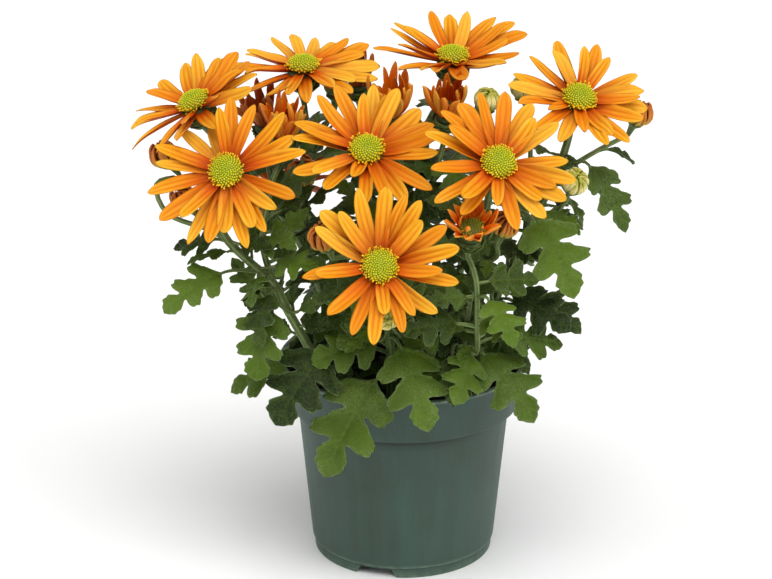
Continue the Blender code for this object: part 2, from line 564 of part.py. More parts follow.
def head_petals(name, frame, head, crowd, rng):
    """The map and width of each petal of a head, each bent until it clears every other head."""
    own = {name + "_petals", name + "_disc", name}
    petals = []
    for directions, short in ((head.lower, False), (head.upper, True)):
        for direction in directions:
            turn = math.radians(direction)
            length = (SHORT_PETAL if short else LONG_PETAL) * head.reach * rng.uniform(0.93, 1.06)
            width = (SHORT_WIDTH if short else LONG_WIDTH) * rng.uniform(0.88, 1.06)
            cup = head.cup + (UPPER_LIFT if short else 0)
            lift = math.radians(min(cup, STEEPEST_ROOT) + rng.uniform(-3, 2))
            curl = math.radians(rng.uniform(-14, 14) + 2 * max(0, cup - STEEPEST_ROOT))
            bend = rng.uniform(-2.0, 2.0)
            roll = math.radians(rng.uniform(-10, 14))
            outward = Vector((math.cos(turn), -math.sin(turn), 0))
            start = outward * PETAL_ROOT + Vector((0, 0, UPPER_HEIGHT if short else LOWER_HEIGHT))
            for extra, shrink in PETAL_TRIES:
                angle = lift + math.radians(max(extra * 0.5, -6))
                along = outward * math.cos(angle) + Vector((0, 0, math.sin(angle)))
                shingled = Matrix.Rotation(math.radians(SHINGLE), 3, along) @ Vector((0, 0, 1))
                local = frame @ frame_of(start, along, shingled)
                place = bent(local, length * shrink, curl + math.radians(extra * 1.4), bend, roll)
                if not crowd.hits(own, petal(place, width + 2 * GAP, PETAL_THICK + 3 * GAP)):
                    break
            petals.append((place, width))
    return petals


def build_heads(crowd):
    rng = random.Random(SEED)
    frames = {name: head_frame(head.centre, head.yaw, head.rise, DOME_LIFT) for name, head in HEADS.items()}
    for name, frame in frames.items():
        crowd.add(name + "_disc", disc_part(frame))
        crowd.add(name + "_petals", turned(frame, CORE_PROFILE, CORE_SIDES))
    for name, head in HEADS.items():
        frame = frames[name]
        petals = head_petals(name, frame, head, crowd, rng)
        parts = [petal(place, width, PETAL_THICK) for place, width in petals]
        for part in parts:
            crowd.add(name + "_petals", part)
        fused(name + "_petals", [turned(frame, CORE_PROFILE, CORE_SIDES)] + parts, "petal")
        mesh_object(name + "_disc", *disc_part(frame), "disc")


def young_petals(name, frame, young, crowd, rng):
    """The map of each petal of a half-open bloom, each curled until it clears every other head."""
    own = {name + "_petals", name + "_disc", name}
    places = []
    for k in range(young.petals):
        turn = math.tau * (k + rng.uniform(-0.2, 0.2)) / young.petals
        outward = Vector((math.cos(turn), math.sin(turn), 0))
        lean = math.radians(STEEP_YOUNG - young.spread * LESS_STEEP + rng.uniform(-6, 6))
        along = outward * math.cos(lean) + Vector((0, 0, math.sin(lean)))
        local = frame @ frame_of(outward * YOUNG_ROOT, along, Vector((0, 0, 1)))
        length = young.height * rng.uniform(0.85, 1.1)
        for extra in YOUNG_TRIES:
            curl = math.radians(YOUNG_CURL + extra)
            place = bent(local, length, curl, rng.uniform(-1, 1), rng.uniform(-0.3, 0.3))
            if not crowd.hits(own, petal(place, YOUNG_WIDTH + 2 * GAP, YOUNG_THICK + GAP, YOUNG_STATIONS)):
                break
        places.append(place)
        crowd.add(name + "_petals", petal(place, YOUNG_WIDTH, YOUNG_THICK, YOUNG_STATIONS))
    return places


def build_young(crowd):
    rng = random.Random(SEED + 1)
    for name, young in YOUNG.items():
        frame = head_frame(young.centre, young.yaw, young.rise, young.height * YOUNG_LIFT)
        if young.disc:
            dome = turned(frame, YOUNG_DISC_PROFILE, YOUNG_SIDES)
            crowd.add(name + "_disc", dome)
            mesh_object(name + "_disc", *dome, young.disc)
        parts = [turned(frame, YOUNG_CORE_PROFILE, YOUNG_SIDES)]
        for place in young_petals(name, frame, young, crowd, rng):
            parts.append(petal(place, YOUNG_WIDTH, YOUNG_THICK, YOUNG_STATIONS))
        crowd.add(name + "_petals", parts[0])
        fused(name + "_petals", parts, young.colour)


def build_buds(crowd):
    for name, bud in BUDS.items():
        part = bud_part(head_frame(bud.centre, bud.yaw, bud.rise, 0.0), bud.radius)
        crowd.add(name, part)
        mesh_object(name, *part, bud.colour)


def end_of(name):
    """The frame of the head that a shoot ends at, with its cup's radius, top and depth."""
    if name in HEADS:
        head = HEADS[name]
        return head_frame(head.centre, head.yaw, head.rise, DOME_LIFT), CUP_RADIUS, CUP_TOP, CUP_DEPTH
    if name in YOUNG:
        young = YOUNG[name]
        frame = head_frame(young.centre, young.yaw, young.rise, young.height * YOUNG_LIFT)
        return frame, YOUNG_CUP_RADIUS, YOUNG_CUP_TOP, YOUNG_CUP_DEPTH
    bud = BUDS[name]
    top = BUD_PROFILE[0][1] * bud.radius - GAP
    return head_frame(bud.centre, bud.yaw, bud.rise, 0.0), bud.radius * BUD_CUP_SHARE, top, BUD_CUP_DEPTH


def nearest_on(curves, point):
    """The point nearest to point on any of the curves."""
    best = None
    for curve in curves:
        for a, b in zip(curve, curve[1:]):
            share = min(1.0, max(0.0, (point - a).dot(b - a) / (b - a).length_squared))
            near = a.lerp(b, share)
            if best is None or (near - point).length < (best - point).length:
                best = near
    return best


def shoot_parts(shoot, older):
    """The stem of a shoot, which widens into the cup at its end, with the curve it follows.

    A branch starts in the middle of the nearest of the older shoots' curves.
    """
    frame, radius, top, depth = end_of(shoot.ends_at)
    below = frame @ Vector((0, 0, top - depth - NECK))
    start = Vector(shoot.route[0])
    if older:
        start = nearest_on(older, start)
    curve = smooth_route([start] + list(shoot.route[1:]) + [below], CURVE_STEP)
    thick, thin = STEM_RADII[shoot.kind]
    radii = [thick + (thin - thick) * i / (len(curve) - 1) for i in range(len(curve))]
    if older:
        radii[0] *= ROOT_SHARE
    for height, wide in cup_rings(radius, top, depth):
        curve.append(frame @ Vector((0, 0, height)))
        radii.append(wide)
    return tube(curve, radii, STEM_SIDES), curve


def place_leaf(leaf, stem_curves, crowd):
    """The map, length and joint of a leaf that is moved a little until it clears what is placed, or None."""
    base, tip = Vector(leaf.base), Vector(leaf.tip)
    joint = nearest_on(stem_curves, Vector(leaf.joint))
    chord = tip - base
    half = math.radians(leaf.droop) / 2
    for lift, turn, shrink in LEAF_TRIES:
        length = chord.length * CHORD_TO_ARC * shrink
        swing = Matrix.Rotation(math.radians(turn), 3, "Z")
        along = swing @ chord.normalized()
        level = Vector((0, 0, 1)).cross(along).normalized()
        along = Matrix.Rotation(-math.radians(lift), 3, level) @ along
        start = joint + swing @ (base - joint)
        flat = frame_of(start, along, Vector(leaf.faces))
        normal = flat.to_3x3() @ Vector((0, 0, 1))
        frame = frame_of(start, along * math.cos(half) + normal * math.sin(half), normal)
        place = bent(frame, length, -2 * half, 0.0, 0.0, LEAF_WAVE, LEAF_BEAT)
        wide = leaf_blade(place, leaf, length, LEAF_THICK + 2.4 * GAP, [])
        stalk = tube([joint, start], [STALK_HALF + GAP, STALK_HALF + GAP], 3)
        if not crowd.hits(set(), wide) and not crowd.hits({leaf.stem}, stalk):
            return place, length, joint
    return None


def spaced(curve, every, first):
    """Points on a curve at even distances, from first on."""
    wanted = first
    for a, b in zip(curve, curve[1:]):
        step = (b - a).length
        while wanted <= step:
            yield a.lerp(b, wanted / step)
            wanted += every
        wanted -= step


def outward_of(joint):
    """The level direction out of the plant at a joint, to the front or the back near its middle."""
    out = Vector((joint.x, joint.y - MIDDLE_Y, 0))
    if out.length < MIDDLE_RADIUS:
        out += Vector((0, -MIDDLE_RADIUS if joint.y < MIDDLE_Y else MIDDLE_RADIUS, 0))
    return out.normalized()


def rule_leaves(shoot, curve, rng):
    """Leaves up a shoot, each turned a golden angle from the last, large below and small near the head."""
    every = FRONT_LEAF_EVERY if shoot.stem in FRONT_STEMS else LEAF_EVERY
    end = curve[-1]
    turn = rng.uniform(0, math.tau)
    for joint in spaced(curve, every, every * 0.6):
        if joint.z < LOWEST_LEAF or (end - joint).length < BARE_NECK:
            continue
        turn += GOLDEN_TURN
        height = min(1.0, (joint.z - SOIL_TOP) / LEAF_ZONE)
        faces = (outward_of(joint) * rng.uniform(0.5, 1.3) + Vector((0, 0, 1))).normalized()
        heading = Vector((math.cos(turn), math.sin(turn), 0.0)) + outward_of(joint) * OUTWARD_PULL
        stalk = LOW_STALK + (HIGH_STALK - LOW_STALK) * height
        length = (LOW_BLADE + (HIGH_BLADE - LOW_BLADE) * height) * rng.uniform(0.9, 1.1)
        base = joint + heading.normalized() * stalk + Vector((0, 0, stalk / 3))
        along = (heading - faces * heading.dot(faces)).normalized()
        tip = base + along * length
        kind = "medium" if length > LONGEST_SMALL else "small"
        yield Leaf(shoot.stem, joint, base, tip, faces, rng.uniform(0.8, 0.92), LEAF_DROOP, kind)


def grow_shoots(crowd):
    """The stems of all shoots, by leafy stem, with the curves they follow."""
    parts, curves = {}, []
    for shoot in SHOOTS:
        older = [curve for other, curve in curves if other.stem == shoot.stem]
        made, curve = shoot_parts(shoot, older)
        crowd.add(shoot.stem, made, shoot.ends_at)
        parts.setdefault(shoot.stem, []).append(made)
        curves.append((shoot, curve))
    return parts, curves


def build_stems(crowd, parts, curves):
    """The leaves, each clear of all that is placed, fused with the stems that they grow from."""
    rng = random.Random(SEED + 2)
    wanted = list(KEY_LEAVES)
    for shoot, curve in curves:
        if shoot.kind != "bud":
            wanted += rule_leaves(shoot, curve, rng)
    for leaf in wanted:
        placed = place_leaf(leaf, [curve for shoot, curve in curves if shoot.stem == leaf.stem], crowd)
        if placed is None:
            continue
        place, length, joint = placed
        made = leaf_blade(place, leaf, length, LEAF_THICK, [joint])
        parts[leaf.stem].append(made)
        crowd.add(leaf.stem, made)
    for name, pieces in parts.items():
        fused(name, pieces, "leaf", "MANIFOLD")


def cutter(group, points, faces):
    mesh = bpy.data.meshes.new("cut")
    mesh.from_pydata([Vector(p) * MM for p in points], [], faces)
    made = bpy.data.objects.new("cut", mesh)
    made.parent = ROOT
    made.hide_render = True
    made.display_type = "WIRE"
    group.objects.link(made)


def new_group(name):
    group = bpy.data.collections.new(name)
    bpy.context.scene.collection.children.link(group)
    return group


def build_pot(crowd):
    part = turned_plain(POT_PROFILE, POT_SIDES)
    crowd.add("pot", part)
    body = mesh_object("pot", *part, "pot")
    group = new_group("pot_cuts")
    for k in range(DRAIN_COUNT):
        turn = math.tau * k / DRAIN_COUNT
        at = Matrix.Translation((DRAIN_RING * math.cos(turn), DRAIN_RING * math.sin(turn), 0))
        low, high = FLOOR_BOTTOM - CUT_PAST, FLOOR_TOP + CUT_PAST
        profile = ((0, low), (DRAIN_RADIUS, low), (DRAIN_RADIUS, high), (0, high))
        cutter(group, *turned(at, profile, DRAIN_SIDES))
    for turn in NOTCH_TURNS:
        cutter(group, *notch(math.radians(turn - 90)))
    apply_boolean(body, "DIFFERENCE", group)


def notch(turn):
    """A cutter with sloping ends, through the foot ring at one place."""
    low, high = NOTCH_WIDTH / 2 + NOTCH_HEIGHT, NOTCH_WIDTH / 2
    section = ((-low, -CUT_PAST), (low, -CUT_PAST), (high, NOTCH_HEIGHT), (-high, NOTCH_HEIGHT))
    spin = Matrix.Rotation(turn, 4, "Z")
    near, far = FOOT_RADIUS - NOTCH_INWARD, FOOT_RADIUS + NOTCH_OUTWARD
    points = [spin @ Vector((r, y, z)) for r in (near, far) for y, z in section]
    faces = [(3, 2, 1, 0), (4, 5, 6, 7)] + [(k, (k + 1) % 4, (k + 1) % 4 + 4, k + 4) for k in range(4)]
    return points, faces


def turned_plain(profile, sides):
    """A turned solid with its rings in line with each other."""
    points, faces, rings = [], [], []
    for radius, height in profile:
        if radius == 0:
            rings.append([len(points)])
            points.append(Vector((0, 0, height)))
            continue
        rings.append(list(range(len(points), len(points) + sides)))
        for k in range(sides):
            turn = math.tau * k / sides
            points.append(Vector((radius * math.cos(turn), radius * math.sin(turn), height)))
    for low, high in zip(rings, rings[1:]):
        for k in range(sides):
            a, b = low[k % len(low)], low[(k + 1) % len(low)]
            c, d = high[k % len(high)], high[(k + 1) % len(high)]
            face = (a, d, c) if len(low) == 1 else (a, b, c) if len(high) == 1 else (a, b, d, c)
            faces.append(face)
    return points, faces


def build_soil(crowd, curves):
    """The soil, with a lumpy top and a plain hole for each stem."""
    def lumpy(radius, height, k, row):
        lump = SOIL_LUMP * math.sin(k * 2.1 + row * 1.7) * math.cos(k * 1.3 + radius)
        return radius, height + (lump if row >= FIRST_LUMPY_ROW else 0)

    part = turned(Matrix.Identity(4), SOIL_PROFILE, SOIL_SIDES, lumpy)
    body = mesh_object("soil", *part, "soil")
    crowd.add("soil", part)
    group = new_group("stem_holes")
    sideways_to_up = Matrix.Rotation(math.radians(90), 4, "Y")
    for shoot, curve in curves:
        if shoot.kind != "main":
            continue
        at = frame_of(curve[0], curve[1] - curve[0], Vector((0, 1, 0))) @ sideways_to_up
        profile = ((0, -GAP), (HOLE_RADIUS, -GAP), (HOLE_RADIUS, HOLE_LENGTH), (0, HOLE_LENGTH))
        cutter(group, *turned(at, profile, HOLE_SIDES))
    apply_boolean(body, "DIFFERENCE", group)


for leftover in list(bpy.data.objects):
    bpy.data.objects.remove(leftover)

ROOT = bpy.data.objects.new("chrysanthemum", None)
ROOT.location = Vector((CENTRE_X, CENTRE_Y, 0)) * MM
bpy.context.scene.collection.objects.link(ROOT)

everything = Crowd()
build_pot(everything)
build_buds(everything)
stems, stem_curves = grow_shoots(everything)
build_soil(everything, stem_curves)
build_heads(everything)
build_young(everything)
build_stems(everything, stems, stem_curves)
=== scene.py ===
"""The looks of a pot chrysanthemum: orange daisy-like blooms on leafy stems, in a round plastic pot.

The layout repeats the one that the solids were built from, in millimetres in the pot's own frame: the pot's
axis at x = y = 0, the ground at z = 0 and the side that is meant to be seen towards -Y. Every fine piece is
then made where its solid is, and its points become metres in the object's frame as its mesh is made.
"""

import json
import math
import random
from collections import namedtuple
from types import SimpleNamespace

import bpy
from mathutils import Matrix, Vector, noise
from mathutils.bvhtree import BVHTree
from mathutils.geometry import delaunay_2d_cdt
from mathutils.kdtree import KDTree

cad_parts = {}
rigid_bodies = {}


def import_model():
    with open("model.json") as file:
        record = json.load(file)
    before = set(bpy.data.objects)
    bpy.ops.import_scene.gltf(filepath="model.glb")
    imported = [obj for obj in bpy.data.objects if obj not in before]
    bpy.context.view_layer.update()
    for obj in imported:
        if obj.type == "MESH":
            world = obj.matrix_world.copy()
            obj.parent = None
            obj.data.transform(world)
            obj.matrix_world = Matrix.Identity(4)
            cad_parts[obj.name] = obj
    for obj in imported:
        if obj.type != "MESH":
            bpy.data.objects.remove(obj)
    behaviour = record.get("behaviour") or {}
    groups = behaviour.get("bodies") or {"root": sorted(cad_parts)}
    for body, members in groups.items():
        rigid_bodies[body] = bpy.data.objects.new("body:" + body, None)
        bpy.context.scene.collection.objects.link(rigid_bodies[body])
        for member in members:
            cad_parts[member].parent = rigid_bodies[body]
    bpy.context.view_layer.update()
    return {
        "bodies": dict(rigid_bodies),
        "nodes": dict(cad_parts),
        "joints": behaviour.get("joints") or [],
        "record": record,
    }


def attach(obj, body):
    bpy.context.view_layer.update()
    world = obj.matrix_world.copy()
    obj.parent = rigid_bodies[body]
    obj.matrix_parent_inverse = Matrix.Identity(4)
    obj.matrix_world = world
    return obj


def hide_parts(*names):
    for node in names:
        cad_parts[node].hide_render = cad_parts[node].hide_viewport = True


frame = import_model()

MM = 0.001
GAP = 0.3
SEED = 12
CENTRE = Vector((6.0, 0.0, 0.0))  # where the pot's axis stands, so that the spread of the plant is centred
UP = Vector((0, 0, 1))

# Pot
RIM_RADIUS = 60.0
POT_HEIGHT = 98.0
BAND_BOTTOM = 75.5
FOOT_RADIUS = 43.6
FOOT_HEIGHT = 5.2
WALL = 1.4
FLOOR_BOTTOM, FLOOR_TOP = FOOT_HEIGHT - 0.8, FOOT_HEIGHT + 1.0
# Radius and height, from the middle of the underside round the wall to the middle of the floor.
POT_PROFILE = (
    (0, FLOOR_BOTTOM), (FOOT_RADIUS - 2.2, FLOOR_BOTTOM), (FOOT_RADIUS - 1.8, 0), (FOOT_RADIUS, 0),
    (FOOT_RADIUS + 0.3, FOOT_HEIGHT), (51.0, BAND_BOTTOM - 0.4), (55.7, BAND_BOTTOM),
    (58.4, POT_HEIGHT - 1.8), (RIM_RADIUS, POT_HEIGHT - 1.2), (RIM_RADIUS - 0.2, POT_HEIGHT),
    (57.4, POT_HEIGHT), (54.6, BAND_BOTTOM + WALL),
    (51.0 - WALL, BAND_BOTTOM - 1.0), (FOOT_RADIUS - 1.2, FLOOR_TOP), (0, FLOOR_TOP),
)
POT_SIDES = 30
DRAIN_RADIUS, DRAIN_RING, DRAIN_COUNT = 4.5, 27.0, 4
NOTCH_HEIGHT, NOTCH_WIDTH, NOTCH_INWARD, NOTCH_OUTWARD = 3.2, 15.0, 4.5, 2.0
CUT_PAST = 0.5  # how far a cutter reaches past what it cuts
NOTCH_TURNS = (-18, 102, 222)  # degrees round from the front

# Soil
SOIL_TOP = 87.0
SOIL_PROFILE = (
    (0, FLOOR_TOP + GAP), (FOOT_RADIUS - 2.2, FLOOR_TOP + GAP), (48.7, BAND_BOTTOM),
    (53.2, BAND_BOTTOM + 2.6), (54.6, SOIL_TOP - 1.5), (44.0, SOIL_TOP), (24.0, SOIL_TOP), (0, SOIL_TOP),
)
SOIL_LUMP = 1.6
SOIL_SIDES = 16
FIRST_LUMPY_ROW = 5
STEM_DEPTH = 19.0  # how far a stem reaches down into the soil
STEM_FOOT = SOIL_TOP - STEM_DEPTH

# Flower heads
# Radius and height along a head's axis, from below it to its face. Those of a bud are shares of its radius.
CORE_PROFILE = ((0, -2.2), (7.4, -2.2), (7.4, 1.5), (0, 1.5))
DISC_PROFILE = ((0, 1.9), (5.0, 1.9), (8.6, 4.2), (7.9, 6.0), (4.8, 7.4), (0, 8.0))
YOUNG_CORE_PROFILE = ((0, -1.8), (4.6, -1.8), (4.8, 1.2), (0, 1.6))
YOUNG_DISC_PROFILE = ((0, 2.4), (2.8, 2.4), (4.4, 4.6), (3.0, 6.6), (0, 7.2))
BUD_PROFILE = ((0, -0.80), (0.70, -0.70), (1.0, -0.05), (0.80, 0.55), (0.38, 0.80), (0, 0.72))
CORE_SIDES, DISC_SIDES, YOUNG_SIDES, BUD_SIDES = 9, 10, 8, 7
DISC_KNOB, FIRST_KNOBBLY_ROW = 0.3, 2
BUD_RIB = 0.05
DOME_LIFT = 4.0  # from the plane of the petals to the middle of the dome
YOUNG_LIFT = 0.6  # the same in a young bloom, as a share of its height

# Petals
UPPER_LIFT = 7.0  # how much more the upper ring of petals rises than the lower, in degrees
UPPER_HEIGHT, LOWER_HEIGHT = 0.35, -0.85
STEEPEST_ROOT = 16.0  # how steeply a petal leaves the button, under the disc
SHINGLE = 9.0  # degrees that each petal is rolled, so that one edge lies over the next petal
PETAL_ROOT = 3.0  # how far from the head's axis a petal starts, inside the core
PETAL_THICK = 1.5
PETAL_STATIONS = ((0.50, 1.0), (0.88, 0.80))  # share of the length, share of the width
LONG_PETAL, SHORT_PETAL = 31.8, 26.2
LONG_WIDTH, SHORT_WIDTH = 8.0, 7.4
# Shares of its length and width, degrees that it rises and curls, how far it strays, degrees that it rolls.
PETAL_VARIES = {"length": (0.93, 1.06), "width": (0.88, 1.06), "lift": (-3, 2), "curl": (-14, 14),
                "bend": (-2.0, 2.0), "roll": (-10, 14)}
CUP_CURL, TRY_LIFT, TRY_CURL, LOWEST_TRY = 2, 0.5, 1.4, -6  # how curl follows the cup, both follow a try
YOUNG_STATIONS = ((0.6, 1.0),)
YOUNG_ROOT, YOUNG_WIDTH, YOUNG_THICK, YOUNG_CURL = 2.4, 4.4, 1.4, 34
YOUNG_VARIES = {"turn": (-0.2, 0.2), "lean": (-6, 6), "length": (0.85, 1.1)}
YOUNG_TRY_VARIES = {"bend": (-1, 1), "roll": (-0.3, 0.3)}
STEEP_YOUNG, LESS_STEEP = 62, 1.6  # degrees that a young petal stands up, and fewer for each unit of spread
# Where a petal meets something: degrees more of bend, share of the length that is kept.
PETAL_TRIES = ((0, 1), (6, 1), (-6, 1), (12, 1), (-12, 0.95), (20, 0.95), (8, 0.85), (-18, 0.85), (28, 0.85),
               (0, 0.7), (36, 0.75), (20, 0.6), (0, 0.5))
YOUNG_TRIES = (0, 12, 24, 40, -12)

# Leaves and stems
LEAF_THICK = 1.4
LEAF_FOLD = 0.15
LEAF_WAVE, LEAF_BEAT = 1.0, 9.0
CHORD_TO_ARC = 1.03  # length of a drooping blade over the distance from its base to its tip
LEAF_DROOP = 28
LONGEST_SMALL = 24.0  # the length up to which a leaf has the small outline
# Where a leaf meets something: degrees higher, degrees round its stem, share of the length that is kept.
LEAF_TRIES = tuple((lift, turn, shrink) for shrink in (1.0, 0.85, 0.7) for lift in (0, 10, -10, 20, -20)
                   for turn in (0, 12, -12, 24, -24))
STALK_HALF = 0.9
LEAF_CLEAR = 2.4 * GAP  # how much thicker a leaf is taken to be when its place is tried
RULE_VARIES = {"facing": (0.5, 1.3), "length": (0.9, 1.1), "width": (0.8, 0.92)}
STEM_SIDES = 6
CURVE_STEP = 24.0
ROOT_SHARE = 0.7  # how thin a branch starts, inside its parent
STEM_RADII = {"main": (2.6, 1.9), "branch": (1.9, 1.6), "bud": (1.4, 1.3)}  # at the start, at the end
NECK = 6.0  # how far below its cup a stem is straight
CUP_RADIUS, CUP_TOP, CUP_DEPTH = 7.0, -2.6, 7.4
YOUNG_CUP_RADIUS, YOUNG_CUP_TOP, YOUNG_CUP_DEPTH = 5.6, -2.2, 6.5
BUD_CUP_SHARE, BUD_CUP_DEPTH = 0.75, 3.0
LEAF_EVERY = 21.0
FRONT_LEAF_EVERY = 15.0  # on the stems that stand in front, which are the leafiest
FRONT_STEMS = ("leafy_stem_1", "leafy_stem_3", "leafy_stem_5")
GOLDEN_TURN = math.radians(137.5)
LOWEST_LEAF = SOIL_TOP + 5
BARE_NECK = 26.0  # the stretch of stem below a head that has no leaves
LEAF_ZONE = 110.0  # the height over which leaves and stalks shorten
LOW_STALK, HIGH_STALK = 14.0, 6.0
LOW_BLADE, HIGH_BLADE = 36.0, 18.0
OUTWARD_PULL = 0.5
MIDDLE_Y, MIDDLE_RADIUS = 10.0, 24.0

# What a piece needs before it is given its form
Head = namedtuple("Head", "centre yaw rise cup reach lower upper")
Young = namedtuple("Young", "centre yaw rise height spread petals disc colour")
Bud = namedtuple("Bud", "centre yaw rise radius colour")
Shoot = namedtuple("Shoot", "stem kind route ends_at")
Leaf = namedtuple("Leaf", "stem joint base tip faces width droop kind")

# The directions of the petals are degrees clockwise round the head from its top.
HEADS = {
    "bloom_1": Head((-97, -12, 228), -56, 61, 12, 1.00,
                    (10, 33, 59, 75, 100, 145, 174, 200, 228, 258, 275, 311, 335, 350),
                    (20, 65, 120, 165, 240, 290)),
    "bloom_2": Head((-47, 12, 239), 0, 78, 5, 1.04,
                    (9, 28, 60, 90, 110, 141, 176, 205, 232, 272, 306, 333),
                    (45, 75, 125, 155, 190, 254, 290, 350)),
    "bloom_3": Head((23, 22, 241), 5, 78, 20, 1.07,
                    (1, 36, 53, 75, 107, 130, 148, 172, 196, 225, 270, 293, 313, 344),
                    (19, 62, 90, 160, 210, 252, 300)),
    "bloom_4": Head((81, -8, 229), 14, 53, 12, 0.95,
                    (22, 59, 77, 99, 111, 138, 165, 199, 225, 253, 273, 290, 313, 342),
                    (5, 36, 88, 150, 181, 240, 330)),
    "bloom_5": Head((-80, -52, 207), -12, 34, 6, 1.03,
                    (2, 24, 49, 66, 81, 112, 149, 170, 192, 212, 234, 257, 282, 296, 318, 341),
                    (130, 157, 185, 222, 0)),
    "bloom_6": Head((-17, -48, 216), 0, 53, 12, 1.05,
                    (3, 26, 46, 65, 82, 103, 124, 147, 179, 220, 249, 279, 298, 317, 336),
                    (15, 162, 196, 232, 288, 353)),
    "bloom_7": Head((42, -58, 213), 9, 39, 10, 0.98,
                    (3, 25, 55, 86, 104, 122, 145, 166, 210, 234, 258, 287, 311, 330, 345),
                    (38, 110, 135, 183, 220, 298)),
    "bloom_8": Head((-11, -92, 176), 0, 30, 10, 1.00,
                    (3, 17, 35, 55, 79, 105, 132, 159, 182, 204, 226, 262, 299, 314, 341),
                    (46, 96, 149, 175, 261, 322)),
    "bloom_9": Head((-56, 60, 168), -145, 40, 10, 1.00,
                    (0, 30, 60, 90, 120, 150, 180, 210, 240, 270, 300, 330), (45, 135, 225, 315)),
    "bloom_10": Head((-6, 87, 172), 180, 42, 10, 1.00,
                     (5, 35, 65, 95, 125, 155, 185, 215, 245, 275, 305, 335), (50, 110, 200, 290)),
    "bloom_11": Head((46, 72, 172), 145, 40, 10, 1.00,
                     (10, 40, 70, 100, 130, 160, 190, 220, 250, 280, 310, 340), (25, 85, 205, 295)),
}

YOUNG = {
    "young_bloom_1": Young((-68, 5, 221), -30, 62, 19, 9, 10, None, "brown"),
    "young_bloom_2": Young((-55, -22, 222), 10, 66, 18, 10, 11, None, "red"),
    "young_bloom_3": Young((-6, -5, 229), 0, 74, 20, 11, 11, None, "red"),
    "young_bloom_4": Young((20, -8, 228), 6, 66, 17, 12, 11, "green", "red"),
    "young_bloom_5": Young((30, -72, 189), 8, 58, 14, 16, 13, "disc", "red"),
    "young_bloom_6": Young((-22, 30, 233), -10, 70, 17, 9, 10, None, "brown"),
}

BUDS = {
    "bud_1": Bud((38, -13, 229), 20, 60, 6.4, "cream"),
    "bud_2": Bud((78, -30, 195), 10, 40, 6.8, "cream"),
    "bud_3": Bud((56, 15, 227), -20, 60, 6.4, "cream"),
    "bud_4": Bud((-32, 15, 228), 10, 70, 6.0, "green"),
    "bud_5": Bud((45, -60, 184), 30, 60, 5.6, "brown"),
    "bud_6": Bud((-8, -80, 147), 20, 20, 5.6, "cream"),
    "bud_7": Bud((-36, -62, 179), -30, 60, 6.6, "brown"),
    "bud_8": Bud((-111, -15, 203), -60, 55, 6.0, "brown"),
    "bud_9": Bud((-101, -30, 186), -50, 50, 5.6, "brown"),
    "bud_10": Bud((-47, -20, 196), -10, 60, 6.6, "brown"),
    "bud_11": Bud((111, 15, 214), 40, 60, 5.6, "brown"),
}

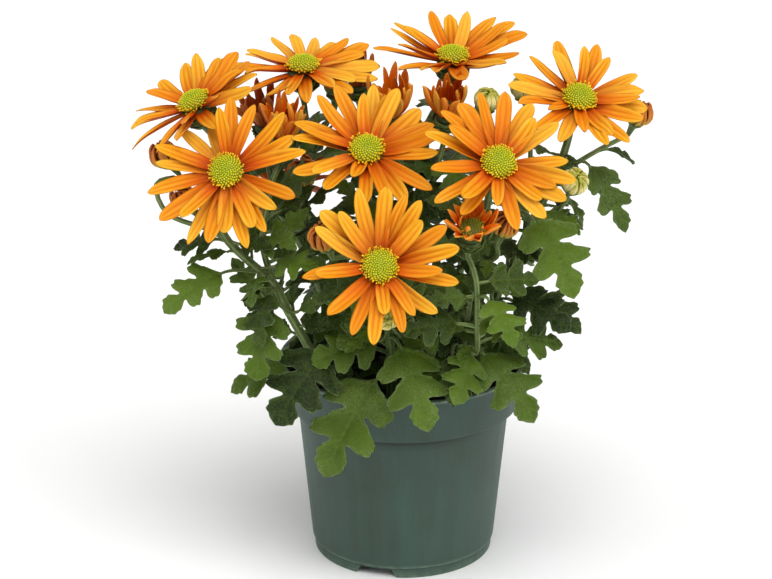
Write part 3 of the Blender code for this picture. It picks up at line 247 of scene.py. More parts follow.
# Each route starts in the soil or inside the shoot that it grows from. Its end at the head is worked out.
SHOOTS = (
    Shoot("leafy_stem_1", "main", ((-28, -24, STEM_FOOT), (-40, -32, 105), (-54, -39, 136), (-60, -40, 149),
                                   (-72, -41, 161), (-82, -40, 172), (-85, -38, 186)), "bloom_5"),
    Shoot("leafy_stem_1", "branch", ((-60, -40, 149), (-65, -36, 168), (-61, -27, 192)), "young_bloom_2"),
    Shoot("leafy_stem_1", "bud", ((-64, -34, 178), (-54, -26, 184)), "bud_10"),
    Shoot("leafy_stem_1", "bud", ((-80, -40, 170), (-93, -36, 176)), "bud_9"),
    Shoot("leafy_stem_1", "bud", ((-89, -36.5, 174.3), (-108, -35, 181), (-114, -25, 192)), "bud_8"),
    Shoot("leafy_stem_2", "main", ((-24, 10, STEM_FOOT), (-36, 8, 118), (-50, 5, 155), (-68, 1, 184),
                                   (-82, -3, 204)), "bloom_1"),
    Shoot("leafy_stem_2", "branch", ((-46, 6, 146), (-47, 12, 175), (-45, 15, 200)), "bloom_2"),
    Shoot("leafy_stem_2", "branch", ((-58, 3.5, 168), (-64, 5, 194)), "young_bloom_1"),
    Shoot("leafy_stem_2", "bud", ((-46, 14, 192), (-37, 16, 208)), "bud_4"),
    Shoot("leafy_stem_3", "main", ((-6, -24, STEM_FOOT), (-6, -32, 108), (-8, -46, 136),
                                   (-10, -62, 156)), "bloom_8"),
    Shoot("leafy_stem_3", "branch", ((-7, -39, 124), (-13, -32, 160), (-16, -33, 186)), "bloom_6"),
    Shoot("leafy_stem_3", "bud", ((-13, -32, 157), (-26, -46, 164)), "bud_7"),
    Shoot("leafy_stem_3", "bud", ((-8, -44, 132), (-8, -62, 136)), "bud_6"),
    Shoot("leafy_stem_4", "main", ((6, 8, STEM_FOOT), (8, 12, 140), (10, 19, 188), (12, 23, 208)), "bloom_3"),
    Shoot("leafy_stem_4", "branch", ((8, 12.5, 148), (2, 4, 184)), "young_bloom_3"),
    Shoot("leafy_stem_4", "branch", ((9, 15, 162), (16, 1, 194)), "young_bloom_4"),
    Shoot("leafy_stem_4", "bud", ((14, 5, 184), (30, -4, 206)), "bud_1"),
    Shoot("leafy_stem_4", "branch", ((8.5, 13, 154), (-10, 25, 196)), "young_bloom_6"),
    Shoot("leafy_stem_5", "main", ((24, -14, STEM_FOOT), (28, -20, 116), (33, -31, 158),
                                   (38, -38, 188)), "bloom_7"),
    Shoot("leafy_stem_5", "branch", ((27.5, -19, 108), (33, -48, 118), (33, -62, 136),
                                   (32, -67, 160)), "young_bloom_5"),
    Shoot("leafy_stem_5", "bud", ((32.5, -30, 152), (42, -46, 164)), "bud_5"),
    Shoot("leafy_stem_6", "main", ((32, 8, STEM_FOOT), (42, 5, 118), (57, 2, 156), (70, 0, 186),
                                   (76, 1, 203)), "bloom_4"),
    Shoot("leafy_stem_6", "bud", ((60, 1.5, 164), (73, -16, 178)), "bud_2"),
    Shoot("leafy_stem_6", "bud", ((71, 0, 188), (92, 7, 199)), "bud_11"),
    Shoot("leafy_stem_6", "bud", ((57, 2, 157), (60, 13, 194)), "bud_3"),
    Shoot("leafy_stem_7", "main", ((-12, 30, STEM_FOOT), (-22, 38, 112), (-38, 47, 142)), "bloom_9"),
    Shoot("leafy_stem_7", "branch", ((-19, 35.5, 102), (-12, 56, 134), (-6, 72, 152)), "bloom_10"),
    Shoot("leafy_stem_8", "main", ((16, 28, STEM_FOOT), (24, 38, 112), (34, 52, 142)), "bloom_11"),
)

# The stems that carry the leaves in front: at the left, in the middle, at the right, and outside that.
LEFT, MIDDLE, RIGHT, OUTER = "leafy_stem_1", "leafy_stem_3", "leafy_stem_5", "leafy_stem_6"

# Joint on the stem, base and tip of the blade, the way it faces, width as a share of its length, droop, kind.
KEY_LEAVES = (
    Leaf(LEFT, (-66, -40, 154), (-83, -48, 157), (-109, -62, 143), (-0.2, -0.6, 0.8), 0.85, 35, "large"),
    Leaf(LEFT, (-52, -38, 132), (-61, -52, 141), (-69, -68, 112), (-0.3, -0.8, 0.5), 0.95, 30, "large"),
    Leaf(MIDDLE, (-6, -34, 112), (-36, -52, 120), (-60, -74, 94), (-0.1, -0.7, 0.7), 0.95, 30, "large"),
    Leaf(MIDDLE, (-6, -30, 104), (-13, -58, 108), (-38, -84, 72), (-0.2, -0.75, 0.65), 0.90, 34, "large"),
    Leaf(MIDDLE, (-7, -38, 122), (-2, -56, 124), (8, -74, 88), (0.2, -0.75, 0.6), 0.90, 30, "large"),
    Leaf(MIDDLE, (-8, -43, 132), (-8, -52, 125), (-34, -72, 118), (-0.2, -0.7, 0.7), 0.95, 25, "medium"),
    Leaf(RIGHT, (28, -20, 118), (30, -52, 127), (11, -64, 117), (0.0, -0.7, 0.7), 0.90, 20, "medium"),
    Leaf(RIGHT, (28, -20, 114), (36, -48, 118), (60, -68, 92), (0.3, -0.7, 0.65), 0.95, 34, "large"),
    Leaf(RIGHT, (28, -19, 108), (29, -52, 117), (33, -68, 100), (0.1, -0.8, 0.5), 0.85, 24, "medium"),
    Leaf(OUTER, (50, 3.5, 138), (59, -34, 178), (79, -58, 150), (0.3, -0.8, 0.5), 0.90, 30, "large"),
    Leaf(OUTER, (44, 4.5, 122), (50, -36, 142), (77, -50, 132), (0.1, -0.6, 0.8), 0.90, 24, "large"),
    Leaf(OUTER, (66, 0.5, 178), (86, -8, 196), (103, -20, 167), (0.4, -0.7, 0.6), 0.65, 40, "large"),
    Leaf(OUTER, (58, 1.8, 160), (68, -16, 176), (88, -32, 178), (0.2, -0.6, 0.8), 0.80, 24, "small"),
    Leaf(LEFT, (-58, -40, 146), (-56, -33, 152), (-56, -33, 176), (-0.1, -1.0, 0.1), 0.60, 20, "small"),
    Leaf(LEFT, (-53, -39, 135), (-49, -42, 136), (-35, -50, 148), (-0.2, -0.9, 0.5), 0.70, 20, "small"),
    Leaf(LEFT, (-54, -39, 136), (-66, -34, 142), (-79, -36, 160), (-0.2, -1.0, 0.2), 0.80, 20, "medium"),
    Leaf(LEFT, (-65, -36, 166), (-62, -35, 166), (-44, -36, 184), (0.1, -1.0, 0.3), 0.80, 20, "small"),
    Leaf(RIGHT, (32, -28, 148), (26, -40, 149), (5, -40, 157), (0.0, -0.9, 0.4), 0.90, 20, "medium"),
    Leaf(MIDDLE, (-8, -44, 134), (0, -50, 125), (24, -44, 135), (0.1, -0.8, 0.5), 0.90, 20, "medium"),
    Leaf(RIGHT, (31, -27, 143), (36, -54, 143), (48, -62, 137), (0.1, -0.7, 0.7), 0.90, 20, "small"),
    Leaf(RIGHT, (33, -31, 156), (40, -38, 158), (53, -44, 144), (0.2, -0.8, 0.5), 0.85, 20, "small"),
    Leaf(MIDDLE, (-10, -35, 142), (4, -46, 134), (-3, -50, 150), (0.1, -0.9, 0.4), 0.90, 20, "small"),
    Leaf(MIDDLE, (-11, -33, 148), (-28, -38, 144), (-42, -40, 162), (-0.1, -0.9, 0.3), 0.85, 20, "medium"),
    Leaf(RIGHT, (33, -32, 160), (26, -40, 162), (11, -42, 176), (0.0, -1.0, 0.3), 0.80, 20, "small"),
    Leaf(OUTER, (52, 3, 142), (62, -28, 140), (82, -34, 122), (0.3, -0.7, 0.6), 0.85, 24, "medium"),
    Leaf(RIGHT, (38, -38, 186), (40, -43, 172), (32, -50, 161), (0.2, -0.9, 0.4), 0.80, 20, "small"),
)

# Half outlines, from the stalk to the tip: distance along and distance out, as shares of the length.
# Each outline point is joined to one node on the midrib.
LARGE_MIDRIB = (0.0, 0.30, 0.62)
LARGE_LEAF = ((0.02, 0.20, 1), (0.12, 0.42, 1), (0.22, 0.38, 1), (0.31, 0.16, 1), (0.42, 0.36, 2),
              (0.58, 0.43, 2), (0.64, 0.31, 2), (0.67, 0.13, 2), (0.82, 0.20, 2), (0.91, 0.12, 2))
MEDIUM_LEAF = ((0.12, 0.39, 1), (0.31, 0.14, 1), (0.53, 0.43, 2), (0.67, 0.13, 2), (0.87, 0.15, 2))
SMALL_MIDRIB = (0.0, 0.5)
SMALL_LEAF = ((0.12, 0.14, 1), (0.34, 0.32, 1), (0.48, 0.30, 1), (0.54, 0.13, 1), (0.78, 0.15, 1))
LEAF_KINDS = {
    "large": (LARGE_MIDRIB, LARGE_LEAF),
    "medium": (LARGE_MIDRIB, MEDIUM_LEAF),
    "small": (SMALL_MIDRIB, SMALL_LEAF),
}
KIND_WIDTH = 0.85  # the width of the half outlines above, doubled

# Fine petals
PETAL_ROWS = (0.0, 0.08, 0.16, 0.24, 0.32, 0.40, 0.48, 0.56, 0.64, 0.71, 0.78, 0.84, 0.89, 0.93, 0.96, 0.98,
              0.998)
QUILL_ROWS = (0.0, 0.12, 0.25, 0.38, 0.50, 0.62, 0.73, 0.82, 0.89, 0.94, 0.975, 0.997)
PETAL_STEPS, QUILL_STEPS = 10, 6  # across the face
PETAL_BODY = 0.5
PETAL_MID, QUILL_MID = 0.5, 0.4  # how high the face runs over the solid's root
PETAL_SPREAD = 0.98
WIDE_FROM, TIP_POWER = 0.55, 2.5  # where a petal is at its widest, and how square its tip is
RAY_ROOT, QUILL_ROOT = 0.4, 0.5  # the width at the root, as a share of the widest
# The grooves: how far from the middle line, how wide and how deep.
GROOVE_AT, GROOVE_WIDTH, GROOVE_DEPTH = 0.34, 0.16, 0.4
RAY_HOLLOW = 0.08
TIP_FROM, TIP_RATE = 0.7, 11  # where the curl of the tip starts, and how fast it grows
NOTCH_FROM, NOTCH_COUNT = 0.85, 3
# What each ray petal's form is drawn from.
RAY_VARIES = {"phase": (0, math.tau), "beat": (5, 11), "ripple": (0.05, 0.45), "cup": (0.3, 0.6),
              "fold": (-0.04, 0.22), "notch": (0.0, 0.035), "tip_curl": (-1.8, 1.2), "skew": (-0.14, 0.14),
              "blunt": (0.42, 0.78), "twist": (-0.3, 0.3), "sag": (-1.8, 1.2), "width": (0.78, 1.06)}
# Petals that stay short and curled, and how much of their length shows.
CURLED_PETALS = {("bloom_3", 160): 0.5, ("bloom_4", 240): 0.6, ("bloom_4", 181): 0.75, ("bloom_6", 196): 0.6,
                 ("bloom_6", 220): 0.75, ("bloom_7", 183): 0.8, ("bloom_8", 175): 0.75}
# The same for the petals of the half-open blooms, and for the place of those in their inner row.
QUILL_VARIES = {"roll": (0.6, 1.2), "blunt": (0.3, 0.6), "stretch": (0.8, 1.2), "sway": (-1.1, 1.1),
                "beat": (2, 5), "hook": (-2.0, 2.5)}
INNER_VARIES = {"turn": (-0.25, 0.25), "lean": (2, 14), "length": (0.7, 0.95), "curl": (-10, 26),
                "roll": (-0.5, 0.5), "width": (0.6, 0.85)}
QUILL_CREASE, QUILL_WAVE, QUILL_WAVE_BEAT = 0.2, 0.2, 9
OUTER_WIDTH = (0.9, 1.1)
INNER_OUTWARD = 0.9  # how much farther out the inner row is rooted
FRONT_SHORTER = 0.55  # the inner petals in front of a young disc
YOUNG_LONGER = {"red": 1.16, "brown": 1.05}
CORE_FINE_SIDES, YOUNG_CORE_SIDES = 24, 20
CORE_SPOT = (0.0, 0.0, 0.5)

# Fine discs
# Radius and height of a standing floret, as shares of its size, from inside the dome.
FLORET_BUD = ((0.8, -0.6), (1.0, 0.35), (0.78, 0.95), (0.3, 1.25))
OPEN_FLORET = ((0.4, -1.6), (0.42, 1.2), (0.85, 2.1), (0.35, 2.8))
FLORET_SIDES, OPEN_SIDES = 6, 5
# The reach and height of a dome's edge and middle, and how many florets are closed and open.
DISC_DOME = (7.2, 3.8, 8.1, 165, 60)
YOUNG_DOMES = {"green": (4.6, 4.2, 7.2, 110, 16), "disc": (5.9, 4.2, 7.2, 110, 16)}
DOME_RINGS, DOME_SIDES, DOME_UNDER, DOME_INSET = 6, 28, 1.6, 0.3
FLORET_SIZE, FLORET_GROWS = 0.058, 0.014  # in the middle and how much more at the edge, as shares
FLORET_VARIES = {"radius": (0.99, 1.01), "turn": (-0.25, 0.25), "size": (0.88, 1.08)}
OPEN_VARIES = {"turn": (-0.3, 0.3), "lean": (-5, 60), "radius": (0.86, 1.06), "height": (-1.2, 1.6),
               "size": (0.4, 0.68)}
OPEN_OUT = 1.3  # what the paint of the florets reads as open

# Fine cups and buds
# Of the rows of scales on a cup: how many, where each starts and ends on the way up.
BRACT_ROWS = ((9, 0.25, 0.72), (11, 0.42, 0.90), (13, 0.6, 1.12))
BRACT_SHARES = (0.0, 0.22, 0.45, 0.68, 0.86, 0.97)
BRACT_STEPS, BRACT_OVERLAP, BRACT_CROWN, BRACT_CLEAR, BRACT_LAYER = 4, 1.25, 0.25, 0.15, 0.35
BRACT_BLUNT, BRACT_ROOT, ROUNDED_STEPS = 0.4, 0.6, 4
BRACT_VARIES = {"turn": (-0.1, 0.1), "lift": (0.2, 0.9)}
BUD_ROUTE = ((0.50, -0.72), (0.90, -0.40), (1.0, -0.02), (0.93, 0.34), (0.68, 0.64), (0.32, 0.80),
             (0.05, 0.82))
BUD_SHARES = (0.0, 0.12, 0.26, 0.40, 0.54, 0.67, 0.79, 0.89, 0.96, 1.0)
BUD_STEPS, BUD_PETALS, HEART_SIDES = 6, 11, 16
FINE_BUD_SHARE = 0.83  # the radius of a bud without its outermost petals, as a share of its solid's
HEART_WIDE, HEART_HIGH = 0.9, 0.93
LOOSE = {"brown": 1.0, "cream": 0.1, "green": 0.06}  # how far a bud's petals stand apart
FOLD_VARIES = {"turn": (-0.12, 0.12), "twist": (-0.1, 0.35), "loose_twist": (-0.4, 0.4)}
FOLD_REACH = ((0.7, 0.95), (0.86, 1.0))  # of the outer and the inner layer
FOLD_WIDE, FOLD_NARROWER, FOLD_LIFT, FOLD_CLEAR, FOLD_LAYER = 1.15, 0.45, 0.5, 0.25, 0.5
FOLD_CROWN, FOLD_CREASE, FOLD_CREASE_WIDTH = 0.35, 0.14, 0.2
STAND_IN = (0.7, -1.0, 0.5)  # the spot of a dome under its florets, which the paint makes darkest, as painted shade

# Fine stems and leaves
FINE_STEP, STEM_FINE_SIDES = 4.0, 15
STEM_RIBS, STEM_RIB = 5, 0.07
STALK_SIDES, STALK_RIBS, STALK_RIB, STALK_STEPS = 6, 3, 0.1, 8
STEM_SLIM = {"main": 0.92, "branch": 0.8, "bud": 0.85}  # as a share of its solid
BARE_SHOOTS = ("bud_8", "bud_9")  # the shoots that carry no leaves of their own
AXIL_EVERY, AXIL_STALK, AXIL_NECK, AXIL_UPTURN = 6.7, 5.0, BARE_NECK * 0.8, 0.8
AXIL_VARIES = {"length": (13.0, 27.0), "rise": (-0.1, 0.6), "facing": (0.2, 1.4), "width": (0.8, 0.95)}
BACK_STEMS, BACK_LONGER = ("leafy_stem_2", "leafy_stem_4", "leafy_stem_7", "leafy_stem_8"), 9.0
# The width as a share of the solid's. The other ranges are shares of the leaf's length.
LEAF_VARIES = {"width": (0.78, 0.96), "pucker": (0.012, 0.022), "edge_turn": (-0.035, 0.02),
               "tip_bend": (-0.02, 0.16), "side_bend": (-0.02, 0.15)}
LEAF_BODY, LEAF_BODY_SHARE, LEAF_RIPPLE, RIPPLE_SCALE = 0.6, 0.012, 0.035, 3.2
LEAF_HALF = 0.45  # about the widest half of a pattern
PUCKER_REACH, EDGE_REACH, VEIN_SINK, BACK_VEIN_REACH = 0.05, 0.04, 0.25, 0.04
TONE_LOW, TONE_REACH = 0.1, 75  # painted shade: leaves inside the plant, near the pot's axis, are held darker and get lighter with their distance from it
SHADED_LEAVES, SHADE_TONE = (KEY_LEAVES[2], KEY_LEAVES[10]), -0.1
RIM_WIDTH, VEIN_WIDTH = 0.013, 0.011
BLUNT = 0.92  # how much of a tooth of a leaf is left when it is rounded

# Fine pot and soil
LIP_WAVE, LIP_HEIGHT = 0.25, 4
POT_FINE_SIDES, POT_ROUNDING, SHARP_ANGLE, DRAIN_FINE_SIDES = 144, 0.35, math.radians(35), 24
FRONT_PAINTED_SHADE, FRONT_WIDTH = 0.7, 0.7  # how much deeper the painted shade under the band is in front, and how far round that reaches
# Radius, height and a mark of wear and painted light, from the middle of the underside round the wall
# to the middle of the floor. Over 0 the mark is wear and dust with a painted highlight on the lip and foot
# edges; under 0 it is painted shade under the band, where light hardly reaches.
POT_FINE = (
    (0, FLOOR_BOTTOM, 0), (FOOT_RADIUS - 2.2, FLOOR_BOTTOM, 0), (FOOT_RADIUS - 1.8, 0, 0.3),
    (FOOT_RADIUS - 0.3, 0, 0.5), (FOOT_RADIUS - 0.2, FOOT_HEIGHT - 0.6, 0),
    (FOOT_RADIUS - 0.1, FOOT_HEIGHT - 0.2, 0), (FOOT_RADIUS + 0.6, FOOT_HEIGHT + 0.2, 1),
    (FOOT_RADIUS + 0.8, FOOT_HEIGHT + 0.9, 0.3), (FOOT_RADIUS + 1.0, FOOT_HEIGHT + 2.0, 0),
    (50.5, BAND_BOTTOM - 7, 0), (50.85, BAND_BOTTOM - 3.8, -0.4), (51.1, BAND_BOTTOM - 2.4, -1),
    (51.3, BAND_BOTTOM - 0.5, -1), (55.5, BAND_BOTTOM, -1), (55.75, BAND_BOTTOM + 0.4, 0),
    (56.0, BAND_BOTTOM + 1.5, 0), (58.4, POT_HEIGHT - 2.6, 0), (58.6, POT_HEIGHT - 1.9, 0.2),
    (59.8, POT_HEIGHT - 1.5, 0.8), (RIM_RADIUS, POT_HEIGHT - 0.8, 1), (RIM_RADIUS - 0.3, POT_HEIGHT, 1),
    (57.8, POT_HEIGHT, 0.9), (57.3, POT_HEIGHT - 0.7, 0.5), (54.6, BAND_BOTTOM + WALL, 0),
    (51.0 - WALL, BAND_BOTTOM - 1.0, 0), (FOOT_RADIUS - 1.2, FLOOR_TOP, 0), (0, FLOOR_TOP, 0),
)
FINE_NOTCH_HEIGHT = FOOT_HEIGHT - 0.9
SOIL_RINGS, SOIL_FINE_SIDES, SOIL_REACH, SOIL_ROUGH_FROM = 22, 96, 54.2, SOIL_TOP - 3
HILL, HILL_SCALE, LUMP, LUMP_SCALE = 2.2, 0.16, 0.9, 0.55
CRUMBS, PALE_CRUMBS, CRUMB_REACH, CRUMB_DEPTH, CRUMB_SIDES = 420, 0.12, 52, 0.8, 5
CRUMB = ((0.6, -0.5), (1.0, 0.0), (0.7, 0.55), (0.25, 0.75))
CRUMB_SIZE, CRUMB_STRETCH = (0.5, 1.6), (0.7, 1.9)

# The outlines and side veins of a leaf's half, from the stalk to the tip, as shares of its length.
LARGE_OUTLINE = (
    (0.0, 0.02), (0.04, 0.055), (0.09, 0.15), (0.12, 0.25), (0.18, 0.29), (0.215, 0.375), (0.28, 0.42),
    (0.32, 0.375), (0.365, 0.385), (0.385, 0.31), (0.375, 0.23), (0.355, 0.17), (0.36, 0.115), (0.395, 0.155),
    (0.43, 0.225), (0.475, 0.255), (0.52, 0.335), (0.58, 0.41), (0.61, 0.365), (0.655, 0.375), (0.675, 0.30),
    (0.67, 0.21), (0.655, 0.145), (0.66, 0.10), (0.695, 0.115), (0.74, 0.16), (0.795, 0.20), (0.83, 0.17),
    (0.885, 0.18), (0.91, 0.13), (0.95, 0.095), (0.975, 0.05), (1.0, 0.0),
)
LARGE_VEINS = (
    ((0.06, 0), (0.11, 0.10), (0.18, 0.24), (0.28, 0.40)), ((0.11, 0.10), (0.11, 0.17), (0.125, 0.25)),
    ((0.15, 0.19), (0.23, 0.27), (0.34, 0.37)), ((0.34, 0), (0.41, 0.13), (0.48, 0.26), (0.565, 0.39)),
    ((0.43, 0.16), (0.46, 0.24), (0.48, 0.32)), ((0.47, 0.24), (0.55, 0.31), (0.63, 0.375)),
    ((0.62, 0), (0.69, 0.08), (0.75, 0.15), (0.80, 0.22)), ((0.72, 0.11), (0.79, 0.16), (0.865, 0.21)),
    ((0.80, 0), (0.87, 0.08), (0.92, 0.14)),
)
MEDIUM_OUTLINE = (
    (0.0, 0.02), (0.06, 0.045), (0.11, 0.13), (0.15, 0.235), (0.21, 0.27), (0.25, 0.35), (0.32, 0.385),
    (0.355, 0.335), (0.385, 0.32), (0.38, 0.25), (0.365, 0.175), (0.37, 0.11), (0.405, 0.15), (0.44, 0.225),
    (0.49, 0.26), (0.54, 0.34), (0.60, 0.395), (0.63, 0.345), (0.67, 0.345), (0.685, 0.27), (0.675, 0.18),
    (0.665, 0.115), (0.695, 0.11), (0.74, 0.155), (0.80, 0.19), (0.835, 0.155), (0.88, 0.145), (0.93, 0.09),
    (0.965, 0.045), (1.0, 0.0),
)
MEDIUM_VEINS = (
    ((0.08, 0), (0.14, 0.11), (0.22, 0.24), (0.31, 0.37)), ((0.13, 0.09), (0.13, 0.15), (0.15, 0.22)),
    ((0.18, 0.18), (0.26, 0.26), (0.35, 0.33)), ((0.36, 0), (0.43, 0.13), (0.51, 0.27), (0.585, 0.38)),
    ((0.45, 0.16), (0.47, 0.23), (0.49, 0.31)), ((0.50, 0.24), (0.57, 0.30), (0.65, 0.35)),
    ((0.64, 0), (0.71, 0.08), (0.77, 0.14), (0.82, 0.20)), ((0.80, 0), (0.86, 0.05), (0.91, 0.11)),
)
SMALL_OUTLINE = (
    (0.0, 0.03), (0.08, 0.05), (0.14, 0.10), (0.17, 0.17), (0.22, 0.18), (0.25, 0.26), (0.30, 0.27),
    (0.34, 0.34), (0.39, 0.32), (0.44, 0.33), (0.455, 0.25), (0.47, 0.17), (0.495, 0.115), (0.53, 0.15),
    (0.58, 0.19), (0.61, 0.25), (0.66, 0.235), (0.71, 0.25), (0.735, 0.18), (0.76, 0.13), (0.81, 0.155),
    (0.86, 0.14), (0.90, 0.08), (0.95, 0.06), (1.0, 0.0),
)
SMALL_VEINS = (
    ((0.14, 0), (0.21, 0.08), (0.28, 0.18), (0.35, 0.31)), ((0.24, 0.12), (0.24, 0.18), (0.25, 0.24)),
    ((0.29, 0.20), (0.35, 0.25), (0.41, 0.31)), ((0.46, 0), (0.54, 0.08), (0.61, 0.16), (0.68, 0.23)),
    ((0.72, 0), (0.78, 0.05), (0.84, 0.12)),
)
# Outline, veins, points between two corners of the outline, distance between the points inside.
FINE_KINDS = {
    "large": (LARGE_OUTLINE, LARGE_VEINS, 2, 0.055),
    "medium": (MEDIUM_OUTLINE, MEDIUM_VEINS, 2, 0.07),
    "small": (SMALL_OUTLINE, SMALL_VEINS, 1, 0.09),
}
BACK_CELL, BACK_INSET = 0.13, 0.05  # the same distance on every leaf's underside, and how far in its ring is
CELL_HIGH, CELL_KEEP = 0.87, 0.45  # the height of a row of the grid, how far it stays from lines, as shares
PATTERN_COUNT, PATTERN_STEP = 5, 7.3
SWELL, SLIDE = 0.16, 0.035  # how much the halves of two patterns differ
MIDRIB = ((0.0, 0.0), (0.35, 0.0), (0.7, 0.0), (0.975, 0.0))
MIDRIB_STEPS, VEIN_STEPS = 5, 2


def tint(red, green, blue):
    """A colour given as it looks, from 0 to 255, as the share of light that it sends back."""
    counts = (red, green, blue)
    return tuple((c / 255 / 12.92) if c < 10.3 else ((c / 255 + 0.055) / 1.055) ** 2.4 for c in counts)


# Colours
PETAL_STOPS = ((0.12, tint(120, 14, 4)), (0.21, tint(188, 54, 2)), (0.36, tint(214, 104, 2)),
               (0.55, tint(228, 142, 4)), (0.82, tint(236, 164, 12)), (1.0, tint(242, 184, 44)))
PETAL_STREAK, PETAL_LINE, PETAL_TINT = tint(210, 100, 2), tint(180, 66, 2), tint(224, 112, 4)
# The painted highlight along the ridges of the petals.
PETAL_HIGHLIGHT = tint(250, 196, 66)
PETAL_BACK_STOPS = ((0.0, tint(140, 36, 12)), (0.4, tint(180, 74, 12)), (0.8, tint(200, 104, 16)),
                    (1.0, tint(212, 130, 32)))
PETAL_BACK_STREAK = tint(160, 60, 14)
QUILL_STOPS = ((0.0, tint(160, 24, 2)), (0.32, tint(228, 72, 2)), (0.65, tint(246, 118, 6)),
               (1.0, tint(255, 180, 64)))
QUILL_STREAK, QUILL_LINE = tint(212, 66, 4), tint(176, 40, 4)
QUILL_BACK_STOPS = ((0.0, tint(206, 70, 4)), (0.4, tint(244, 108, 10)), (1.0, tint(255, 170, 64)))
BROWN_STOPS = ((0.0, tint(140, 42, 12)), (0.45, tint(200, 96, 36)), (1.0, tint(226, 142, 76)))
BROWN_LINE = tint(110, 30, 10)
BROWN_BACK_STOPS = ((0.0, tint(150, 66, 24)), (0.5, tint(198, 106, 48)), (1.0, tint(226, 148, 84)))
LEAF_DARK, LEAF_LIGHT = tint(22, 38, 3), tint(80, 106, 15)
VEIN_COLOUR, RIM_COLOUR, FELT = tint(88, 112, 42), tint(128, 146, 98), tint(154, 172, 122)
BACK_DARK, BACK_LIGHT, BACK_VEIN = tint(66, 86, 40), tint(92, 110, 60), tint(124, 140, 88)
STEM_GROOVE, STEM_RIDGE, STEM_BLUSH = tint(72, 94, 42), tint(132, 150, 90), tint(100, 80, 42)
BRACT_DARK, BRACT_LIGHT = tint(54, 74, 26), tint(96, 116, 52)
# The third pot colour is that of dust and wear, and of the painted highlight on the lip and foot edges.
POT_DARK, POT_LIGHT, POT_DUST_AND_HIGHLIGHT = tint(43, 61, 50), tint(54, 79, 70), tint(134, 156, 132)
FLOOR_COLOUR = (0.98, 0.98, 0.98, 1.0)

# The studio
ROOM_LIGHT = 0.12
# The direction that each lamp shines from, its power, softness in degrees and colour.
LAMPS = {
    "key": ((0.2, -1.1, 1.5), 1.1, 45, (1.0, 1.0, 1.0)),
    "left": ((-1.5, -0.3, 0.8), 0.85, 60, (1.0, 1.0, 1.0)),
    "right": ((1.5, -0.8, 0.7), 1.5, 50, (1.0, 1.0, 1.0)),
    "top": ((0.0, -0.35, 1.0), 1.2, 45, (1.0, 1.0, 0.99)),
    "back": ((-0.2, 1.2, 1.2), 0.4, 60, (1.0, 1.0, 1.0)),
}
LOOK_AT = (-0.0024, 0.0, 0.1314)
CAMERA_AWAY, CAMERA_PITCH, CAMERA_LENS = 1.2, math.radians(20), 117.2
FLOOR_RADIUS, FLOOR_BEND, WALL_TOP, FLOOR_SIDES, BEND_STEPS = 2.8, 0.6, 1.0, 96, 12


def draw(limits, dice):
    """A random number between each pair of limits, by name and in their order."""
    return SimpleNamespace(**{name: dice.uniform(*pair) for name, pair in limits.items()})


def level(turn):
    """The level direction at turn, counted from +X towards +Y."""
    return Vector((math.cos(turn), math.sin(turn), 0))


def raised(outward, angle):
    """A direction that is raised by angle out of its plane."""
    return outward * math.cos(angle) + UP * math.sin(angle)


def facing(yaw, rise):
    """The direction that is yaw degrees round from -Y towards +X and rise degrees above level."""
    yaw, rise = math.radians(yaw), math.radians(rise)
    return Vector((math.sin(yaw) * math.cos(rise), -math.cos(yaw) * math.cos(rise), math.sin(rise)))


def frame_of(origin, along, normal):
    """A frame with X along, Z as near to normal as it can be, at origin."""
    along = Vector(along).normalized()
    normal = Vector(normal)
    side = normal.cross(along).normalized()
    normal = along.cross(side)
    frame = Matrix((along, side, normal)).transposed().to_4x4()
    frame.translation = Vector(origin)
    return frame


def head_frame(centre, yaw, rise, lift):
    """The frame of a flower head: Z out of its face, X to its top, its origin lift below centre."""
    out = facing(yaw, rise)
    upward = Vector((0, 1, 1))
    return frame_of(Vector(centre) - out * lift, upward - out * out.dot(upward), out)


def bent(frame, length, curl, bend, roll, wave=0.0, beat=0.0):
    """A map for a blade in frame: (share of the length, distance across, height) to a point.

    The blade follows an arc that turns by curl, strays sideways by bend and rolls by roll at its tip.
    """
    def place(share, across, up):
        angle = curl * share
        if abs(curl) < 1e-4:
            along, height = length * share, 0.0
        else:
            along = length / curl * math.sin(angle)
            height = length / curl * (1 - math.cos(angle))
        turn = roll * share
        up += wave * math.sin(share * beat + (2.0 if across > 0 else 0.0)) * min(1.0, abs(across) / 6.0)
        side = across * math.cos(turn) - up * math.sin(turn)
        lift = across * math.sin(turn) + up * math.cos(turn)
        return frame @ Vector((along - lift * math.sin(angle), side + bend * share * share,
                               height + lift * math.cos(angle)))
    return place


def petal(place, width, thick, stations=PETAL_STATIONS):
    """A petal with a low ridge, a pointed root and a blunt tip, sharp at its edges, as points and faces."""
    points, faces = [place(0.0, 0, 0)], []
    for share, part in stations:
        half = width / 2 * part
        points += [place(share, -half, 0), place(share, 0, thick * part), place(share, half, 0)]
    tip = len(points)
    points.append(place(1.0, 0, 0))
    for k in range(3):
        after = (k + 1) % 3
        faces.append((0, 1 + k, 1 + after))
        for ring in range(len(stations) - 1):
            a, b = 1 + ring * 3 + k, 1 + ring * 3 + after
            faces += [(a, b + 3, b), (a, a + 3, b + 3)]
        faces.append((tip, tip - 3 + after, tip - 3 + k))
    return points, faces


